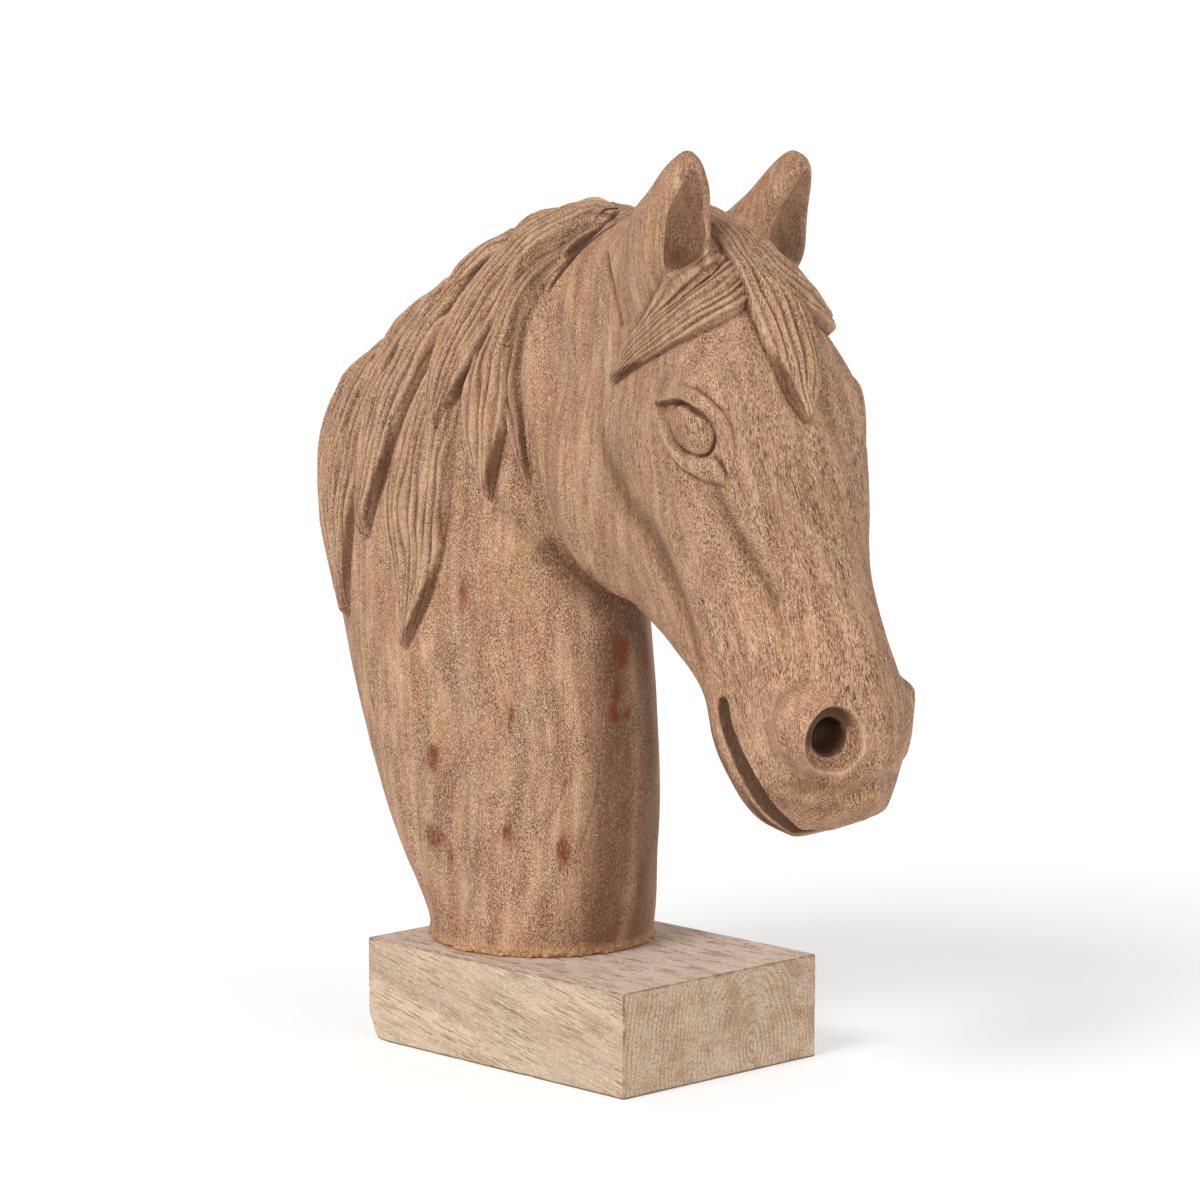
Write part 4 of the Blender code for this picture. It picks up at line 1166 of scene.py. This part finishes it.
# %% Shape the block
BLOCK_CUTS = 84
KNOCK_RADIUS = 4.2
KNOCK_REACH = 14
DIRT_WIDTH = 1.0
block_bm = bmesh.new()
bmesh.ops.create_cube(block_bm, size=2)
bmesh.ops.subdivide_edges(block_bm, edges=block_bm.edges[:], cuts=BLOCK_CUTS, use_grid_fill=True)
block_middle = (block_low + block_high) / 2
block_half = (block_high - block_low) / 2
near_arris = []
for vertex in block_bm.verts:
    spread = Vector([math.sin(math.pi / 2 * c) for c in vertex.co])
    point = Vector([middle + half * s for middle, half, s in zip(block_middle, block_half, spread)])
    to_faces = sorted(half * (1 - abs(s)) / MM for half, s in zip(block_half, spread))
    wear = 0.5 + 0.5 * noise.noise(point / (9 * MM)) + 0.3 * noise.noise(point / (2.5 * MM))
    near_arris.append(math.exp(-((to_faces[1] / (DIRT_WIDTH * (0.5 + wear))) ** 2)))
    chipped = max(0, noise.noise(point / (16 * MM) + Vector((5, 2, 8))) - 0.25) * 6
    low_edge = 1 if spread.z < 0 else 0
    knock = KNOCK_RADIUS * max(0, 1 - (point - block_low).length / (KNOCK_REACH * MM))
    radius = MM * (0.45 + 0.45 * wear + low_edge * (0.3 + chipped) + knock)
    inner = Vector([
        min(max(c, low + radius), high - radius) for c, low, high in zip(point, block_low, block_high)
    ])
    vertex.co = inner + (point - inner).normalized() * radius
bmesh.ops.recalc_face_normals(block_bm, faces=block_bm.faces)
block_wood, block_shader = new_material("sawn_mango_plank")
block = new_object("worn_plinth", block_bm, block_wood)
store(block.data, "near_arris", near_arris)
block.data.shade_smooth()
print("block:", len(block.data.polygons), "faces")

# %% [markdown]
# The plank is the paler sapwood of the same tree. Its fibres run along it and dip towards the front end,
# where the growth rings close around the pith. Rings and pores are measured from that pith, so the
# pattern on the sides, the top and the end grain agree with each other.

# %% Find the rings of the plank
PITH = Vector((block_high.x, 21 * MM, 11.5 * MM))
FIBRE_DIP = math.radians(13)
RING_GAP = 2.7
plank = Finish(block_wood, "#d2baa0")
from_pith = plank.math("SUBTRACT", plank.place, PITH, kind="VectorMath")
fibre_way = plank.node("Mapping", 0, ("Vector", from_pith), ("Rotation", (0, -FIBRE_DIP, 0)))
# The rings are wider above the pith than beside it, and they waver
ring_place = plank.wander(fibre_way, 28, (0, 0.007, 0.009))
ring_place = plank.scaled(plank.wander(ring_place, 7, (0, 0.0016, 0.0016)), (1, 1, 0.62))
rings = plank.node(
    "TexWave", "Fac", ("Vector", ring_place), ("Scale", math.pi / (10 * RING_GAP * MM)), ("Distortion", 0),
    wave_type="RINGS", rings_direction="X",
)
to_pith = plank.node("VectorMath", "Value", (0, ring_place), operation="LENGTH")
near_pith = plank.ramp(to_pith, 14 * MM, 6 * MM)
ring_fade = plank.math("MAXIMUM", plank.streaks(plank.place, 12, 12, 0.34, 0.58), near_pith)
ring_line = plank.times(plank.ramp(rings, 0.55, 0.98, smooth=True), ring_fade)
print("rings every", RING_GAP, "mm")

# %% [markdown]
# Sapwood is cream to pale brown and was left bare. Its open pores show as fine brown dashes on the long
# sides and as dots on the end, among rings and grey bands. The top has greyed and bears a few brown
# streaks, and a thin line of dirt runs along the arrises. A painted contact shadow darkens the lowest
# millimetre.

# %% Make the sawn plank
facing = plank.split(plank.node("NewGeometry", "Normal"))
on_end = plank.ramp(plank.math("ABSOLUTE", facing[0]), 0.6, 0.9)
on_top = plank.ramp(facing[2], 0.6, 0.9)
end_bands = plank.times(plank.streaks(plank.place, 18, 18, 0.50, 0.66, 3), on_end)
brown_on_top = plank.times(plank.streaks(fibre_way, 3.5, 45, 0.50, 0.68, 3, axis=0), on_top)
fibres = plank.streaks(fibre_way, 0.42, 30, 0.42, 0.62, 1, axis=0)
pore_fields = plank.ramp(plank.streaks(ring_place, 9, 50, 0.40, 0.62, 3, axis=0), 0, 1, 0.3, 1)
pores = plank.times(plank.streaks(fibre_way, 0.42, 11, 0.575, 0.64, 1, axis=0), pore_fields)
end_dots = plank.times(plank.streaks(plank.place, 0.6, 0.6, 0.54, 0.62, 1), on_end)
dirt = plank.times(plank.measured("near_arris", 0.15, 0.9), plank.streaks(plank.place, 5, 5, 0.30, 0.60))
# Painted contact shadow along the foot of the block
contact_shadow = plank.ramp(plank.split(plank.place)[2], 1.3 * MM, 0.4 * MM)
plank.lay(
    (plank.streaks(ring_place, 8, 110, 0.38, 0.62, 3, axis=0), 1.0, "#bfa68c"),
    (plank.streaks(plank.place, 26, 26, 0.42, 0.62, 3), 0.35, "#b9aa98"),
    (on_top, 0.7, "#e2cdc0"),
    (on_end, 0.6, "#e4c9ae"),
    (end_bands, 0.5, "#a8805c"),
    (plank.times(ring_line, on_end), 0.5, "#8f6a4a"),
    (ring_line, 0.10, "#94714f"),
    (plank.streaks(fibre_way, 9, 70, 0.56, 0.72, 3, axis=0), 0.45, "#a67f5c"),
    (brown_on_top, 0.75, "#8e6a4e"),
    (fibres, 0.28, "#93765a"),
    (pores, 0.85, "#7a5233"),
    (end_dots, 0.8, "#84603f"),
    (plank.streaks(fibre_way, 0.5, 3, 0.56, 0.64, 1, axis=0), 0.4, "#eedfc8"),
    (dirt, 0.75, "#7d5735"),
    (contact_shadow, 0.8, "#4f4036"),
)
plank.polish(block_shader, 0.7, 0.2, 0.7, (pores, 0.9), (fibres, 0.3))

# %% [markdown]
# Last, each piece is hung from the root body, and the imported solid that it stands for is hidden.

# %% Tie the pieces to the model and finish
for piece, node, slot in ((bust, "horse_head", "carved_wood"), (block, "plinth", "pale_wood")):
    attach(piece, "root")
    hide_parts(node)
